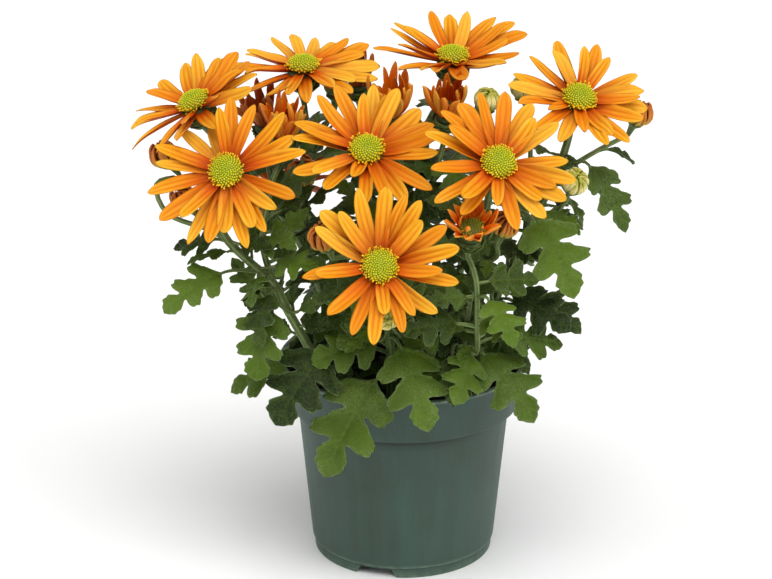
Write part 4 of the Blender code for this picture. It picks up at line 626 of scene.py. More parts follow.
def leaf_blade(place, leaf, length, thick, stalk):
    """A lobed leaf with its stalk, thickest along its midrib and sharp at its edge, as points and faces.

    The stalk is a list of points, from inside the stem towards the blade.
    """
    midrib, outline = LEAF_KINDS[leaf.kind]
    scale = length * leaf.width / KIND_WIDTH
    outline = ((0.0, STALK_HALF / scale, 1),) + outline
    points, faces, top, under, edges = [], [], [], [], {}
    for share in midrib:
        top.append(len(points))
        points.append(place(share, 0, thick / 2))
        under.append(len(points))
        points.append(place(share, 0, -thick / 2))
    tip = len(points)
    points.append(place(1.0, 0, 0))
    for side in (1, -1):
        edge = edges[side] = []
        for share, out, _ in outline:
            edge.append(len(points))
            points.append(place(share, side * out * scale, LEAF_FOLD * out * scale))
        for ribs, flip in ((top, side > 0), (under, side < 0)):
            previous, node = ribs[0], 1
            cells = []
            for corner, (_, _, wanted) in zip(edge, outline):
                if wanted != node:
                    cells.append((ribs[wanted], ribs[node], previous))
                    node = wanted
                cells.append((ribs[node], previous, corner))
                previous = corner
            cells.append((ribs[node], previous, tip))
            faces += [(c, b, a) if flip else (a, b, c) for a, b, c in cells]
    ring = [top[0], edges[1][0], under[0], edges[-1][0]]
    centre = (points[top[0]] + points[under[0]]) / 2
    for point in reversed(stalk):
        start = len(points)
        points += [points[i] + point - centre for i in ring]
        for k in range(4):
            a, b = k, (k + 1) % 4
            faces += [(ring[a], ring[b], start + b), (ring[a], start + b, start + a)]
        ring = list(range(start, start + 4))
        centre = point
    faces += [(ring[0], ring[1], ring[2]), (ring[0], ring[2], ring[3])]
    return points, faces


def bands(rings, sides):
    """The four-sided faces between rings of points that follow each other."""
    faces = []
    for row in range(rings - 1):
        for k in range(sides):
            a, b = row * sides + k, row * sides + (k + 1) % sides
            faces.append((a, b, b + sides, a + sides))
    return faces


def rings_along(route, sides, radius_at):
    """Rings of points round a route, at the radius that is given for a point's number and its turn."""
    points = []
    normal = Vector((0.3, 0.9, 0.1))
    for i, centre in enumerate(route):
        ahead = route[min(i + 1, len(route) - 1)] - route[max(i - 1, 0)]
        frame = frame_of(centre, ahead, normal)
        normal = frame.to_3x3() @ UP
        for k in range(sides):
            turn = math.tau * k / sides
            r = radius_at(i, turn)
            points.append(frame @ Vector((0, r * math.cos(turn), r * math.sin(turn))))
    return points


def tube(route, radii, sides):
    """A round stem along route, closed at both ends, as points and faces."""
    points = rings_along(route, sides, lambda i, turn: radii[i])
    faces = []
    for a, b, c, d in bands(len(route), sides):
        faces += [(a, b, c), (a, c, d)]
    last = (len(route) - 1) * sides
    faces += [(0, k + 1, k) for k in range(1, sides - 1)]
    faces += [(last, last + k, last + k + 1) for k in range(1, sides - 1)]
    return points, faces


def turned(frame, profile, sides, relief=None, lined_up=False):
    """A solid turned about the frame's Z from a profile that starts and ends on the axis, top last.

    Each ring is turned half a step against the last and the faces are triangles, unless all are lined up.
    """
    points, faces, rings = [], [], []
    for row, (radius, height) in enumerate(profile):
        if radius == 0:
            rings.append([len(points)])
            points.append(frame @ Vector((0, 0, height)))
            continue
        rings.append(list(range(len(points), len(points) + sides)))
        shift = 0 if lined_up else 0.5 * (row % 2)
        for k in range(sides):
            turn = math.tau * (k + shift) / sides
            r, z = (radius, height) if relief is None else relief(radius, height, k, row)
            points.append(frame @ Vector((r * math.cos(turn), r * math.sin(turn), z)))
    for row, (low, high) in enumerate(zip(rings, rings[1:])):
        for k in range(sides):
            a, b = low[k % len(low)], low[(k + 1) % len(low)]
            c, d = high[k % len(high)], high[(k + 1) % len(high)]
            if len(low) == 1:
                faces.append((a, d, c))
            elif len(high) == 1:
                faces.append((a, b, c))
            elif lined_up:
                faces.append((a, b, d, c))
            elif row % 2:
                faces += [(a, b, d), (a, d, c)]
            else:
                faces += [(a, b, c), (b, d, c)]
    return points, faces


def stretches(points):
    """Each stretch between two neighbouring points, with the points before and after it."""
    ends = [points[0] * 2 - points[1]] + points + [points[-1] * 2 - points[-2]]
    return zip(ends, ends[1:], ends[2:], ends[3:])


def between(before, a, b, after, t):
    """The point at t, from 0 to 1, on the smooth curve from a to b."""
    return 0.5 * (2 * a + (b - before) * t + (2 * before - 5 * a + 4 * b - after) * t ** 2
                  + (3 * a - before - 3 * b + after) * t ** 3)


def smooth_route(route, step):
    """Points about step apart on a smooth curve through the route's own points."""
    route = [Vector(p) for p in route]
    out = [route[0]]
    for before, a, b, after in stretches(route):
        count = max(1, round((b - a).length / step))
        out += [between(before, a, b, after, i / count) for i in range(1, count + 1)]
    return out


def smooth_line(corners, steps):
    """A smooth curve through corners, with steps points to each stretch."""
    line = [Vector(c) for c in corners]
    out = [between(*stretch, i / steps) for stretch in stretches(line) for i in range(steps)]
    return out + [line[-1]]


class Crowd:
    """What is already placed, to keep the parts of different nodes from touching."""

    def __init__(self):
        self.placed = []

    @staticmethod
    def outline(part):
        """The lowest and the highest corner of a part's box, and the tree of its faces."""
        points, faces = part
        low = [min(p[i] for p in points) for i in range(3)]
        high = [max(p[i] for p in points) for i in range(3)]
        return low, high, BVHTree.FromPolygons(points, faces)

    def add(self, owner, part, tag=None):
        self.placed.append(({owner, tag}, *self.outline(part)))

    def hits(self, owners, part):
        """Whether part touches anything but what owners names."""
        low, high, tree = self.outline(part)
        for names, lower, upper, other in self.placed:
            if names & owners:
                continue
            if any(high[i] < lower[i] or low[i] > upper[i] for i in range(3)):
                continue
            if tree.overlap(other):
                return True
        return False


def disc_part(frame):
    """The dome of florets, as a turned solid with a knobbly relief."""
    def knobbly(radius, height, k, row):
        out = DISC_KNOB if k % 2 else -DISC_KNOB
        return radius + (out if row >= FIRST_KNOBBLY_ROW else 0), height

    return turned(frame, DISC_PROFILE, DISC_SIDES, knobbly)


def cup_rings(radius, top, depth):
    """Heights and radii of the green cup of small bracts under a head, from the stem up."""
    if depth < 4:
        return ((top - depth, radius * 0.45), (top, radius))
    return ((top - depth, radius * 0.42), (top - depth * 0.6, radius * 0.88), (top, radius))


def bud_part(frame, radius):
    """A closed bud with its petals folded over the top."""
    def ribbed(r, z, k, _):
        return r * (1 + BUD_RIB if k % 2 else 1 - BUD_RIB), z

    return turned(frame, [(r * radius, z * radius) for r, z in BUD_PROFILE], BUD_SIDES, ribbed)


def head_petals(name, frame, head, crowd, rng):
    """The map and width of each petal of a head, each bent until it clears every other head."""
    own = {name + "_petals", name + "_disc", name}
    petals = []
    for directions, short in ((head.lower, False), (head.upper, True)):
        cup = head.cup + (UPPER_LIFT if short else 0)
        for direction in directions:
            drawn = draw(PETAL_VARIES, rng)
            length = (SHORT_PETAL if short else LONG_PETAL) * head.reach * drawn.length
            width = (SHORT_WIDTH if short else LONG_WIDTH) * drawn.width
            lift = math.radians(min(cup, STEEPEST_ROOT) + drawn.lift)
            curl = math.radians(drawn.curl + CUP_CURL * max(0, cup - STEEPEST_ROOT))
            outward = level(-math.radians(direction))
            start = outward * PETAL_ROOT + UP * (UPPER_HEIGHT if short else LOWER_HEIGHT)
            for extra, shrink in PETAL_TRIES:
                along = raised(outward, lift + math.radians(max(extra * TRY_LIFT, LOWEST_TRY)))
                shingled = Matrix.Rotation(math.radians(SHINGLE), 3, along) @ UP
                place = bent(frame @ frame_of(start, along, shingled), length * shrink,
                             curl + math.radians(extra * TRY_CURL), drawn.bend, math.radians(drawn.roll))
                if not crowd.hits(own, petal(place, width + 2 * GAP, PETAL_THICK + 3 * GAP)):
                    break
            petals.append((place, width))
    return petals


def young_petals(name, frame, young, crowd, rng):
    """The map of each petal of a half-open bloom, each curled until it clears every other head."""
    own = {name + "_petals", name + "_disc", name}
    places = []
    for k in range(young.petals):
        drawn = draw(YOUNG_VARIES, rng)
        outward = level(math.tau * (k + drawn.turn) / young.petals)
        along = raised(outward, math.radians(STEEP_YOUNG - young.spread * LESS_STEEP + drawn.lean))
        local = frame @ frame_of(outward * YOUNG_ROOT, along, UP)
        for extra in YOUNG_TRIES:
            tried = draw(YOUNG_TRY_VARIES, rng)
            curl = math.radians(YOUNG_CURL + extra)
            place = bent(local, young.height * drawn.length, curl, tried.bend, tried.roll)
            if not crowd.hits(own, petal(place, YOUNG_WIDTH + 2 * GAP, YOUNG_THICK + GAP, YOUNG_STATIONS)):
                break
        places.append(place)
        crowd.add(name + "_petals", petal(place, YOUNG_WIDTH, YOUNG_THICK, YOUNG_STATIONS))
    return places


def end_of(name):
    """The frame of the head that a shoot ends at, with its cup's radius, top and depth."""
    if name in HEADS:
        head = HEADS[name]
        return head_frame(head.centre, head.yaw, head.rise, DOME_LIFT), CUP_RADIUS, CUP_TOP, CUP_DEPTH
    if name in YOUNG:
        young = YOUNG[name]
        frame = head_frame(young.centre, young.yaw, young.rise, young.height * YOUNG_LIFT)
        return frame, YOUNG_CUP_RADIUS, YOUNG_CUP_TOP, YOUNG_CUP_DEPTH
    bud = BUDS[name]
    top = BUD_PROFILE[0][1] * bud.radius - GAP
    return head_frame(bud.centre, bud.yaw, bud.rise, 0.0), bud.radius * BUD_CUP_SHARE, top, BUD_CUP_DEPTH


def nearest_on(curves, point):
    """The point nearest to point on any of the curves."""
    best = None
    for curve in curves:
        for a, b in zip(curve, curve[1:]):
            share = min(1.0, max(0.0, (point - a).dot(b - a) / (b - a).length_squared))
            near = a.lerp(b, share)
            if best is None or (near - point).length < (best - point).length:
                best = near
    return best


def shoot_curve(shoot, older, step):
    """The curve that a shoot follows up to its neck, and its radii on the way.

    A branch starts in the middle of the nearest of the older shoots' curves.
    """
    frame, _, top, depth = end_of(shoot.ends_at)
    start = Vector(shoot.route[0])
    if older:
        start = nearest_on(older, start)
    below = frame @ (UP * (top - depth - NECK))
    curve = smooth_route([start] + list(shoot.route[1:]) + [below], step)
    thick, thin = STEM_RADII[shoot.kind]
    return curve, [thick + (thin - thick) * i / (len(curve) - 1) for i in range(len(curve))]


def shoot_parts(shoot, older):
    """The stem of a shoot, which widens into the cup at its end, with the curve it follows."""
    frame, radius, top, depth = end_of(shoot.ends_at)
    curve, radii = shoot_curve(shoot, older, CURVE_STEP)
    if older:
        radii[0] *= ROOT_SHARE
    for height, wide in cup_rings(radius, top, depth):
        curve.append(frame @ (UP * height))
        radii.append(wide)
    return tube(curve, radii, STEM_SIDES), curve


def place_leaf(leaf, stem_curves, crowd):
    """The map, length and joint of a leaf that is moved a little until it clears what is placed, or None."""
    base, tip = Vector(leaf.base), Vector(leaf.tip)
    joint = nearest_on(stem_curves, Vector(leaf.joint))
    chord = tip - base
    half = math.radians(leaf.droop) / 2
    for lift, turn, shrink in LEAF_TRIES:
        length = chord.length * CHORD_TO_ARC * shrink
        swing = Matrix.Rotation(math.radians(turn), 3, "Z")
        along = swing @ chord.normalized()
        axle = UP.cross(along).normalized()
        along = Matrix.Rotation(-math.radians(lift), 3, axle) @ along
        start = joint + swing @ (base - joint)
        flat = frame_of(start, along, Vector(leaf.faces))
        normal = flat.to_3x3() @ UP
        frame = frame_of(start, along * math.cos(half) + normal * math.sin(half), normal)
        place = bent(frame, length, -2 * half, 0.0, 0.0, LEAF_WAVE, LEAF_BEAT)
        wide = leaf_blade(place, leaf, length, LEAF_THICK + LEAF_CLEAR, [])
        stalk = tube([joint, start], [STALK_HALF + GAP, STALK_HALF + GAP], 3)
        if not crowd.hits(set(), wide) and not crowd.hits({leaf.stem}, stalk):
            return place, length, joint
    return None


def spaced(curve, every, first):
    """Points on a curve at even distances, from first on."""
    wanted = first
    for a, b in zip(curve, curve[1:]):
        step = (b - a).length
        while wanted <= step:
            yield a.lerp(b, wanted / step)
            wanted += every
        wanted -= step


def outward_of(joint):
    """The level direction out of the plant at a joint, to the front or the back near its middle."""
    out = Vector((joint.x, joint.y - MIDDLE_Y, 0))
    if out.length < MIDDLE_RADIUS:
        out += Vector((0, -MIDDLE_RADIUS if joint.y < MIDDLE_Y else MIDDLE_RADIUS, 0))
    return out.normalized()


def rule_leaves(shoot, curve, rng):
    """Leaves up a shoot, each turned a golden angle from the last, large below and small near the head."""
    every = FRONT_LEAF_EVERY if shoot.stem in FRONT_STEMS else LEAF_EVERY
    turn = rng.uniform(0, math.tau)
    for joint in spaced(curve, every, every * 0.6):
        if joint.z < LOWEST_LEAF or (curve[-1] - joint).length < BARE_NECK:
            continue
        turn += GOLDEN_TURN
        drawn = draw(RULE_VARIES, rng)
        height = min(1.0, (joint.z - SOIL_TOP) / LEAF_ZONE)
        faces = (outward_of(joint) * drawn.facing + UP).normalized()
        heading = level(turn) + outward_of(joint) * OUTWARD_PULL
        stalk = LOW_STALK + (HIGH_STALK - LOW_STALK) * height
        length = (LOW_BLADE + (HIGH_BLADE - LOW_BLADE) * height) * drawn.length
        base = joint + heading.normalized() * stalk + UP * (stalk / 3)
        along = (heading - faces * heading.dot(faces)).normalized()
        kind = "medium" if length > LONGEST_SMALL else "small"
        yield Leaf(shoot.stem, joint, base, base + along * length, faces, drawn.width, LEAF_DROOP, kind)


def grow_shoots(crowd):
    """Each shoot with the curve that it follows. Their stems join the crowd."""
    curves = []
    for shoot in SHOOTS:
        older = [curve for other, curve in curves if other.stem == shoot.stem]
        made, curve = shoot_parts(shoot, older)
        crowd.add(shoot.stem, made, shoot.ends_at)
        curves.append((shoot, curve))
    return curves


# What a fine piece is made of
def in_metres(points):
    """Points of the pot's own frame as points of the object's frame."""
    return [(p + CENTRE) * MM for p in points]


class Surface:
    """The points and faces of one piece. Each point has a spot: three numbers that its material reads."""

    def __init__(self):
        self.points, self.faces, self.slots, self.spots = [], [], [], []

    def add(self, points, faces, slots, spots):
        start = len(self.points)
        self.points += points
        self.faces += [tuple(start + i for i in face) for face in faces]
        self.slots += slots
        self.spots += spots

    def add_even(self, part, slot=0, spot=(0.0, 0.0, 0.0)):
        """Adds a part that is of one material and has one spot all over."""
        points, faces = part
        self.add(points, faces, [slot] * len(faces), [spot] * len(points))

    def make(self, name, node, materials, slot):
        """The piece in metres, in place of a node of the frame."""
        mesh = bpy.data.meshes.new(name)
        mesh.from_pydata(in_metres(self.points), [], self.faces)
        mesh.polygons.foreach_set("material_index", self.slots)
        spots = mesh.attributes.new("spot", "FLOAT_VECTOR", "POINT")
        spots.data.foreach_set("vector", [x for spot in self.spots for x in spot])
        mesh.update()
        mesh.shade_smooth()
        for material in materials:
            mesh.materials.append(material)
        piece = bpy.data.objects.new(name, mesh)
        bpy.context.scene.collection.objects.link(piece)
        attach(piece, "root")
        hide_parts(node)
        return piece


def blade(surface, place, rows, half, height, tone, steps=PETAL_STEPS, slots=(0, 1)):
    """A thin closed blade: at each row a ring across its face and back under it."""
    ring = [(-1 + 2 * i / steps, 1) for i in range(steps + 1)]
    ring += [(1 - 2 * i / steps, -1) for i in range(1, steps)]
    size = len(ring)
    points, spots = [], []
    for share in rows:
        for v, side in ring:
            body = PETAL_BODY * math.sqrt(1 - v * v) / 2
            points.append(place(share, v * half(share), height(share, v) + side * body))
            spots.append((share, v, tone))
    faces = [(a, d, c, b) for a, b, c, d in bands(len(rows), size)]
    sides = [slots[0] if k < steps else slots[1] for _ in rows[1:] for k in range(size)]
    last = (len(rows) - 1) * size
    faces += [tuple(range(size)), tuple(range(last + size - 1, last - 1, -1))]
    surface.add(points, faces, sides + [slots[1], slots[1]], spots)


def bell(x, width):
    """A round bump at 0 that is 1 high."""
    return math.exp(-(x / width) ** 2)


def strap(share, blunt, root):
    """The half width of a petal as a share of its widest: narrow at the root, then straight, then blunt."""
    rise = min(1.0, share / WIDE_FROM)
    end = max(0.0, (share - blunt) / (1 - blunt))
    return (root + (1 - root) * rise * (2 - rise)) * math.sqrt(max(0.0, 1 - end ** TIP_POWER))


def ray_petal(surface, place, width, looks):
    """A ray petal: a channel at the root that opens out, two grooves, and a tip with three small teeth."""
    tone, drawn = looks.random(), draw(RAY_VARIES, looks)
    skew = drawn.skew * width
    width *= drawn.width

    def half(share):
        return width / 2 * strap(share, drawn.blunt, RAY_ROOT)

    def height(share, v):
        grooves = bell(v - GROOVE_AT, GROOVE_WIDTH) + bell(v + GROOVE_AT, GROOVE_WIDTH)
        wave = drawn.ripple * math.sin(share * drawn.beat + drawn.phase + v) * v * v
        channel = half(share) * (drawn.cup * (1 - share) * v * v + drawn.fold * abs(v) + RAY_HOLLOW * v * v)
        bent_up = drawn.tip_curl * max(0.0, share - TIP_FROM) ** 2 * TIP_RATE + drawn.sag * share ** 2
        return (PETAL_MID + channel - GROOVE_DEPTH * grooves * math.sin(math.pi * share) + wave + bent_up
                + half(share) * v * drawn.twist * share)

    def toothed(share, across, up):
        v = across / max(half(share), 0.01)
        near_tip = max(0.0, share - NOTCH_FROM) / (1 - NOTCH_FROM)
        back = drawn.notch * near_tip * (1 - math.cos(NOTCH_COUNT * math.pi * v)) / 2
        return place(share - back, across + skew * math.sin(math.pi * share), up)

    blade(surface, toothed, PETAL_ROWS, half, height, tone)


def knob(surface, at, out, across, size, rings, sides, spot, slot=0):
    """A small turned body on a surface, from rings of radius and height as shares of its size."""
    ahead = out.cross(across).normalized()
    points, spots = [], []
    for radius, height in rings:
        for k in range(sides):
            turn = math.tau * k / sides
            side = across * math.cos(turn) + ahead * math.sin(turn)
            points.append(at + (side * radius + out * height) * size)
            spots.append((spot[0], height, spot[1]))
    last = (len(rings) - 1) * sides
    faces = bands(len(rings), sides) + [tuple(range(last, last + sides))]
    surface.add(points, faces, [slot] * len(faces), spots)


def dome_height(radius, reach, low, high):
    """The height of a disc's dome at a distance from its axis."""
    return low + (high - low) * math.sqrt(max(0.0, 1 - (radius / reach) ** 2))


def floret(surface, frame, side, at, lean, size, form, spot):
    """A floret at a point of its disc's frame, raised by lean out of the level direction side."""
    across = frame.to_3x3() @ Vector((-side.y, side.x, 0))
    rings, sides = form
    knob(surface, frame @ at, frame.to_3x3() @ raised(side, lean), across, size, rings, sides, spot)


def florets(frame, dome, looks):
    """A disc: a dome that is covered by floret buds in a spiral, with a ring of open florets at its edge."""
    reach, low, high, count, open_count = dome
    surface = Surface()
    turns = [math.pi / 2 * i / DOME_RINGS for i in range(DOME_RINGS, -1, -1)]
    profile = [(0, low - DOME_UNDER), (reach * 0.6, low - DOME_UNDER)]
    profile += [(reach * math.sin(t), high - (high - low) * (1 - math.cos(t)) - DOME_INSET) for t in turns]
    surface.add_even(turned(frame, profile, DOME_SIDES), 0, STAND_IN)
    for i in range(count):
        drawn = draw(FLORET_VARIES, looks)
        radius = reach * math.sqrt((i + 0.5) / count) * drawn.radius
        side = level(i * GOLDEN_TURN + drawn.turn / (2 + radius))
        edge = math.sqrt(max(0.02, 1 - (radius / reach) ** 2)) * reach
        slope = math.atan2((high - low) * radius / reach, edge)
        at = side * radius + UP * (dome_height(radius, reach, low, high) - DOME_INSET)
        size = reach * (FLORET_SIZE + FLORET_GROWS * radius / reach) * drawn.size
        floret(surface, frame, side, at, math.pi / 2 - slope, size, (FLORET_BUD, FLORET_SIDES),
               (radius / reach, looks.random()))
    for i in range(open_count):
        drawn = draw(OPEN_VARIES, looks)
        side = level(math.tau * (i + drawn.turn) / open_count)
        at = side * reach * drawn.radius + UP * (low + drawn.height)
        size = drawn.size * (0.5 + 0.5 * reach / DISC_DOME[0])
        floret(surface, frame, side, at, math.radians(drawn.lean), size, (OPEN_FLORET, OPEN_SIDES),
               (OPEN_OUT, looks.random()))
    return surface


def over(frame, profile, turn, twist=0.0):
    """A map onto a turned surface: (share of its profile, distance round it, height above it) to a point."""
    lengths = [0.0]
    for (r0, z0), (r1, z1) in zip(profile, profile[1:]):
        lengths.append(lengths[-1] + math.hypot(r1 - r0, z1 - z0))

    def at(share):
        wanted = share * lengths[-1]
        i = max([0] + [k for k in range(len(profile) - 1) if lengths[k] <= wanted])
        t = (wanted - lengths[i]) / (lengths[i + 1] - lengths[i])
        (r0, z0), (r1, z1) = profile[i], profile[i + 1]
        return r0 + (r1 - r0) * t, z0 + (z1 - z0) * t

    def place(share, across, up):
        r, z = at(share)
        (r0, z0), (r1, z1) = at(share - 0.04), at(share + 0.04)
        slope = math.hypot(r1 - r0, z1 - z0)
        out, rise = (z1 - z0) / slope, -(r1 - r0) / slope
        angle = turn + twist * share - across / max(r, 0.8)
        reach = r + up * out
        return frame @ Vector((reach * math.cos(angle), reach * math.sin(angle), z + up * rise))
    return place


def rounded(profile):
    """A profile of radius and height with smooth bends."""
    return [(max(p.x, 0.0), p.y) for p in smooth_line(profile, ROUNDED_STEPS)]


def bracts(surface, frame, radius, top, depth, looks):
    """The green cup under a head: rows of small scales over each other."""
    profile = rounded([(r, z) for z, r in cup_rings(radius, top, depth)])
    for row, (count, low, high) in enumerate(BRACT_ROWS):
        for k in range(count):
            drawn = draw(BRACT_VARIES, looks)
            place = over(frame, profile, math.tau * (k + 0.5 * (row % 2) + drawn.turn) / count)
            wide = math.pi * radius / count * BRACT_OVERLAP
            lift = drawn.lift + BRACT_LAYER * (len(BRACT_ROWS) - row)

            def along(share, across, up):
                return place(low + (high - low) * share, across, up + BRACT_CLEAR + lift * share ** 3)

            def half(share):
                return wide * strap(share, BRACT_BLUNT, BRACT_ROOT)

            def height(share, v):
                return BRACT_CROWN * (1 - v * v) * (1 - share)

            blade(surface, along, BRACT_SHARES, half, height, looks.random(), BRACT_STEPS, (3, 3))


def bud_petals(surface, frame, radius, looks, loose):
    """The folded petals of a bud, which close over its top. In a loose one they stand apart."""
    profile = rounded([(r * radius, z * radius) for r, z in BUD_ROUTE])
    wide = math.pi * radius / BUD_PETALS * (FOLD_WIDE - FOLD_NARROWER * loose)
    for layer, limits in enumerate(FOLD_REACH):
        for k in range(BUD_PETALS):
            drawn = draw(FOLD_VARIES, looks)
            place = over(frame, profile, math.tau * (k + 0.5 * layer + drawn.turn) / BUD_PETALS,
                         drawn.twist + loose * drawn.loose_twist)
            reach = looks.uniform(*limits)
            lift = looks.uniform(0.0, 1.0) * loose * FOLD_LIFT

            def along(share, across, up):
                rise = FOLD_CLEAR - FOLD_LAYER * layer + lift * share ** 2 * radius
                return place(share * reach, across, up + rise)

            def half(share):
                return wide * math.sin(math.pi * (0.2 + 0.7 * share))

            def height(_, v):
                return (FOLD_CROWN + loose) * (1 - v * v) - FOLD_CREASE * bell(v, FOLD_CREASE_WIDTH)

            blade(surface, along, BUD_SHARES, half, height, looks.random(), BUD_STEPS)


def fine_bud(bud, looks):
    """A bud: a solid heart with folded petals over it."""
    surface = Surface()
    frame = head_frame(bud.centre, bud.yaw, bud.rise, 0.0)
    radius = bud.radius * FINE_BUD_SHARE
    heart = [(r * radius * HEART_WIDE, z * radius * HEART_HIGH) for r, z in BUD_PROFILE]
    surface.add_even(turned(frame, heart, HEART_SIDES), 0, (0.1, 1.0, 0.3))
    bud_petals(surface, frame, radius, looks, LOOSE[bud.colour])
    return surface


def ribbed_tube(surface, route, radii, sides, tone, ribs=STEM_RIBS, rib=STEM_RIB):
    """A stem with low ribs along it, closed at both ends."""
    def radius_at(i, turn):
        return radii[i] * (1 + rib * math.cos(ribs * turn))

    crests = [0.5 + 0.5 * math.cos(ribs * math.tau * k / sides) for k in range(sides)]
    spots = [(crest, i / len(route), tone) for i in range(len(route)) for crest in crests]
    last = (len(route) - 1) * sides
    faces = bands(len(route), sides)
    faces += [tuple(range(sides - 1, -1, -1)), tuple(range(last, last + sides))]
    surface.add(rings_along(route, sides, radius_at), faces, [2] * len(faces), spots)


# Leaves
def apart(point, segments):
    """How far a point of the plane is from the nearest of the segments."""
    best = 1e9
    for a, b in segments:
        run = b - a
        share = min(1.0, max(0.0, (point - a).dot(run) / run.length_squared))
        best = min(best, (point - a - run * share).length)
    return best


def inside_points(cell, lines):
    """Points of a triangular grid, without those close to the lines."""
    columns = round(1.0 / cell)
    for i in range(columns + 1):
        for j in range(-columns, columns + 1):
            p = Vector(((i + 0.5 * (j % 2)) * cell, j * cell * CELL_HIGH))
            if apart(p, lines) > cell * CELL_KEEP:
                yield p


def plane_mesh(points, count, veins, rim):
    """Triangles between points, the first of which are the outline's, and each point's marks.

    The marks are its place, its distance from the veins and from the rim, and its number on the outline.
    """
    edges = [(i, (i + 1) % count) for i in range(count)]
    made, _, triangles, sources, _, _ = delaunay_2d_cdt(points, edges, [], 1, 1e-5)
    used = sorted({i for triangle in triangles for i in triangle})
    new_place = {old: new for new, old in enumerate(used)}
    marks = []
    for i in used:
        corner = min(sources[i])
        corner = corner if corner < count else None
        marks.append((made[i], apart(made[i], veins), apart(made[i], rim), corner))
    return marks, [tuple(new_place[i] for i in triangle) for triangle in triangles]


def drawn_in(outline, i, by):
    """A point of an outline, moved into it."""
    run = outline[(i + 1) % len(outline)] - outline[i - 1]
    return outline[i] + Vector((-run.y, run.x)).normalized() * by


def leaf_pattern(kind, seed):
    """The upper and the lower face of a lobed leaf in the plane."""
    outline_half, veins_half, steps, cell = FINE_KINDS[kind]

    def warped(x, y, side):
        swell = 1 + SWELL * noise.noise(Vector((x * 4.0, side * 3.0, seed)))
        slide = SLIDE * noise.noise(Vector((x * 5.0, side * 7.0, seed + 9.0)))
        return Vector((x + slide * min(1.0, 4 * abs(y)), side * y * swell))

    halves = {}
    lines = [smooth_line(MIDRIB, MIDRIB_STEPS)]
    for side in (1, -1):
        corners = [warped(x, y, side) for x, y in outline_half]
        inner = [b * BLUNT + (a + c) * (1 - BLUNT) / 2 for a, b, c in zip(corners, corners[1:], corners[2:])]
        halves[side] = smooth_line([corners[0]] + inner + [corners[-1]], steps)
        for route in veins_half:
            route = [warped(x, y, side) if y else Vector((x, 0.0)) for x, y in route]
            lines.append(smooth_line(route, VEIN_STEPS))
    outline = halves[-1] + halves[1][-2::-1]
    count = len(outline)
    rim = [(outline[i], outline[(i + 1) % count]) for i in range(count)]
    face = outline + [drawn_in(outline, i, RIM_WIDTH) for i in range(count)]
    veins = []
    for line in lines:
        for a, b in zip(line, line[1:]):
            veins.append((a, b))
            flank = Vector((a.y - b.y, b.x - a.x)).normalized() * VEIN_WIDTH
            face += [a, (a + b) / 2, (a + b) / 2 + flank, (a + b) / 2 - flank]
        face.append(line[-1])
    face += inside_points(cell, rim + veins)
    back = outline + [drawn_in(outline, i, BACK_INSET) for i in range(0, count, 2)]
    back += inside_points(BACK_CELL, rim)
    return plane_mesh(face, count, veins, rim), plane_mesh(back, count, veins, rim)


def nearness(distance, reach):
    """1 on a line and 0 from reach on."""
    return max(0.0, 1 - distance / reach)


def fine_stalk(surface, place, joint, tone):
    """The stalk of a leaf, from its stem in a curve to the underside of its blade."""
    base = place(0.0, 0.0, 0.0)
    ahead = (place(0.06, 0.0, 0.0) - base).normalized()
    inside = base - ahead * (base - joint).length * 0.35
    shares = [i / STALK_STEPS for i in range(STALK_STEPS + 1)]
    route = [joint * (1 - t) ** 2 + inside * 2 * t * (1 - t) + base * t * t for t in shares]
    radii = [STALK_HALF * (1.15 - 0.35 * t) for t in shares]
    ribbed_tube(surface, route + [place(0.05, 0.0, -0.3)], radii + [STALK_HALF * 0.5], STALK_SIDES, tone,
                STALK_RIBS, STALK_RIB)


def fine_leaf(surface, place, leaf, length, joint, looks):
    """A leaf with veins, a puckered face and a felted underside, and its stalk."""
    (face, face_triangles), (back, back_triangles) = looks.choice(PATTERNS[leaf.kind])
    mirror, seed = looks.choice((1, -1)), looks.uniform(0, 100)
    # painted shade: the tone is held lower near the pot's axis, inside the plant
    tone = looks.random() * min(1.0, TONE_LOW + place(0.5, 0.0, 0.0).xy.length / TONE_REACH)
    if leaf in SHADED_LEAVES:
        tone = SHADE_TONE
    drawn = draw(LEAF_VARIES, looks)
    scale = length * leaf.width / KIND_WIDTH * drawn.width

    def point(p, from_rim, rise):
        across = mirror * p.y * scale
        ripple = noise.noise(Vector((p.x * RIPPLE_SCALE, p.y * RIPPLE_SCALE, seed))) * min(1, abs(p.y) * 5)
        bend = drawn.tip_bend * p.x ** 2 + drawn.side_bend * (p.y / LEAF_HALF) ** 2
        edge = drawn.edge_turn * math.exp(-from_rim / EDGE_REACH)
        up = length * (ripple * LEAF_RIPPLE - bend + edge)
        return place(p.x, across, LEAF_FOLD * abs(across) + up + rise)

    points, spots, at_corner = [], [], {}
    for p, from_vein, from_rim, corner in face:
        vein, rim = nearness(from_vein, VEIN_WIDTH * 2), nearness(from_rim, RIM_WIDTH * 2)
        pucker = drawn.pucker * length * (1 - math.exp(-from_vein / PUCKER_REACH))
        at_corner[corner] = len(points)
        points.append(point(p, from_rim, pucker - VEIN_SINK * vein))
        spots.append((vein, rim, tone))
    place_of = []
    for p, from_vein, from_rim, corner in back:
        if corner is not None:
            place_of.append(at_corner[corner])
            continue
        place_of.append(len(points))
        points.append(point(p, from_rim, -LEAF_BODY - LEAF_BODY_SHARE * length))
        spots.append((nearness(from_vein, BACK_VEIN_REACH), 0.0, tone))
    upper = [triangle if mirror > 0 else triangle[::-1] for triangle in face_triangles]
    lower = [triangle if mirror < 0 else triangle[::-1] for triangle in back_triangles]
    lower = [tuple(place_of[i] for i in triangle) for triangle in lower]
    surface.add(points, upper + lower, [0] * len(upper) + [1] * len(lower), spots)
    fine_stalk(surface, place, joint, tone)


# The plant
def cut_short(place, share_left):
    """The same map for a petal of which only a share is there."""
    return lambda share, across, up: place(share * share_left, across, up)


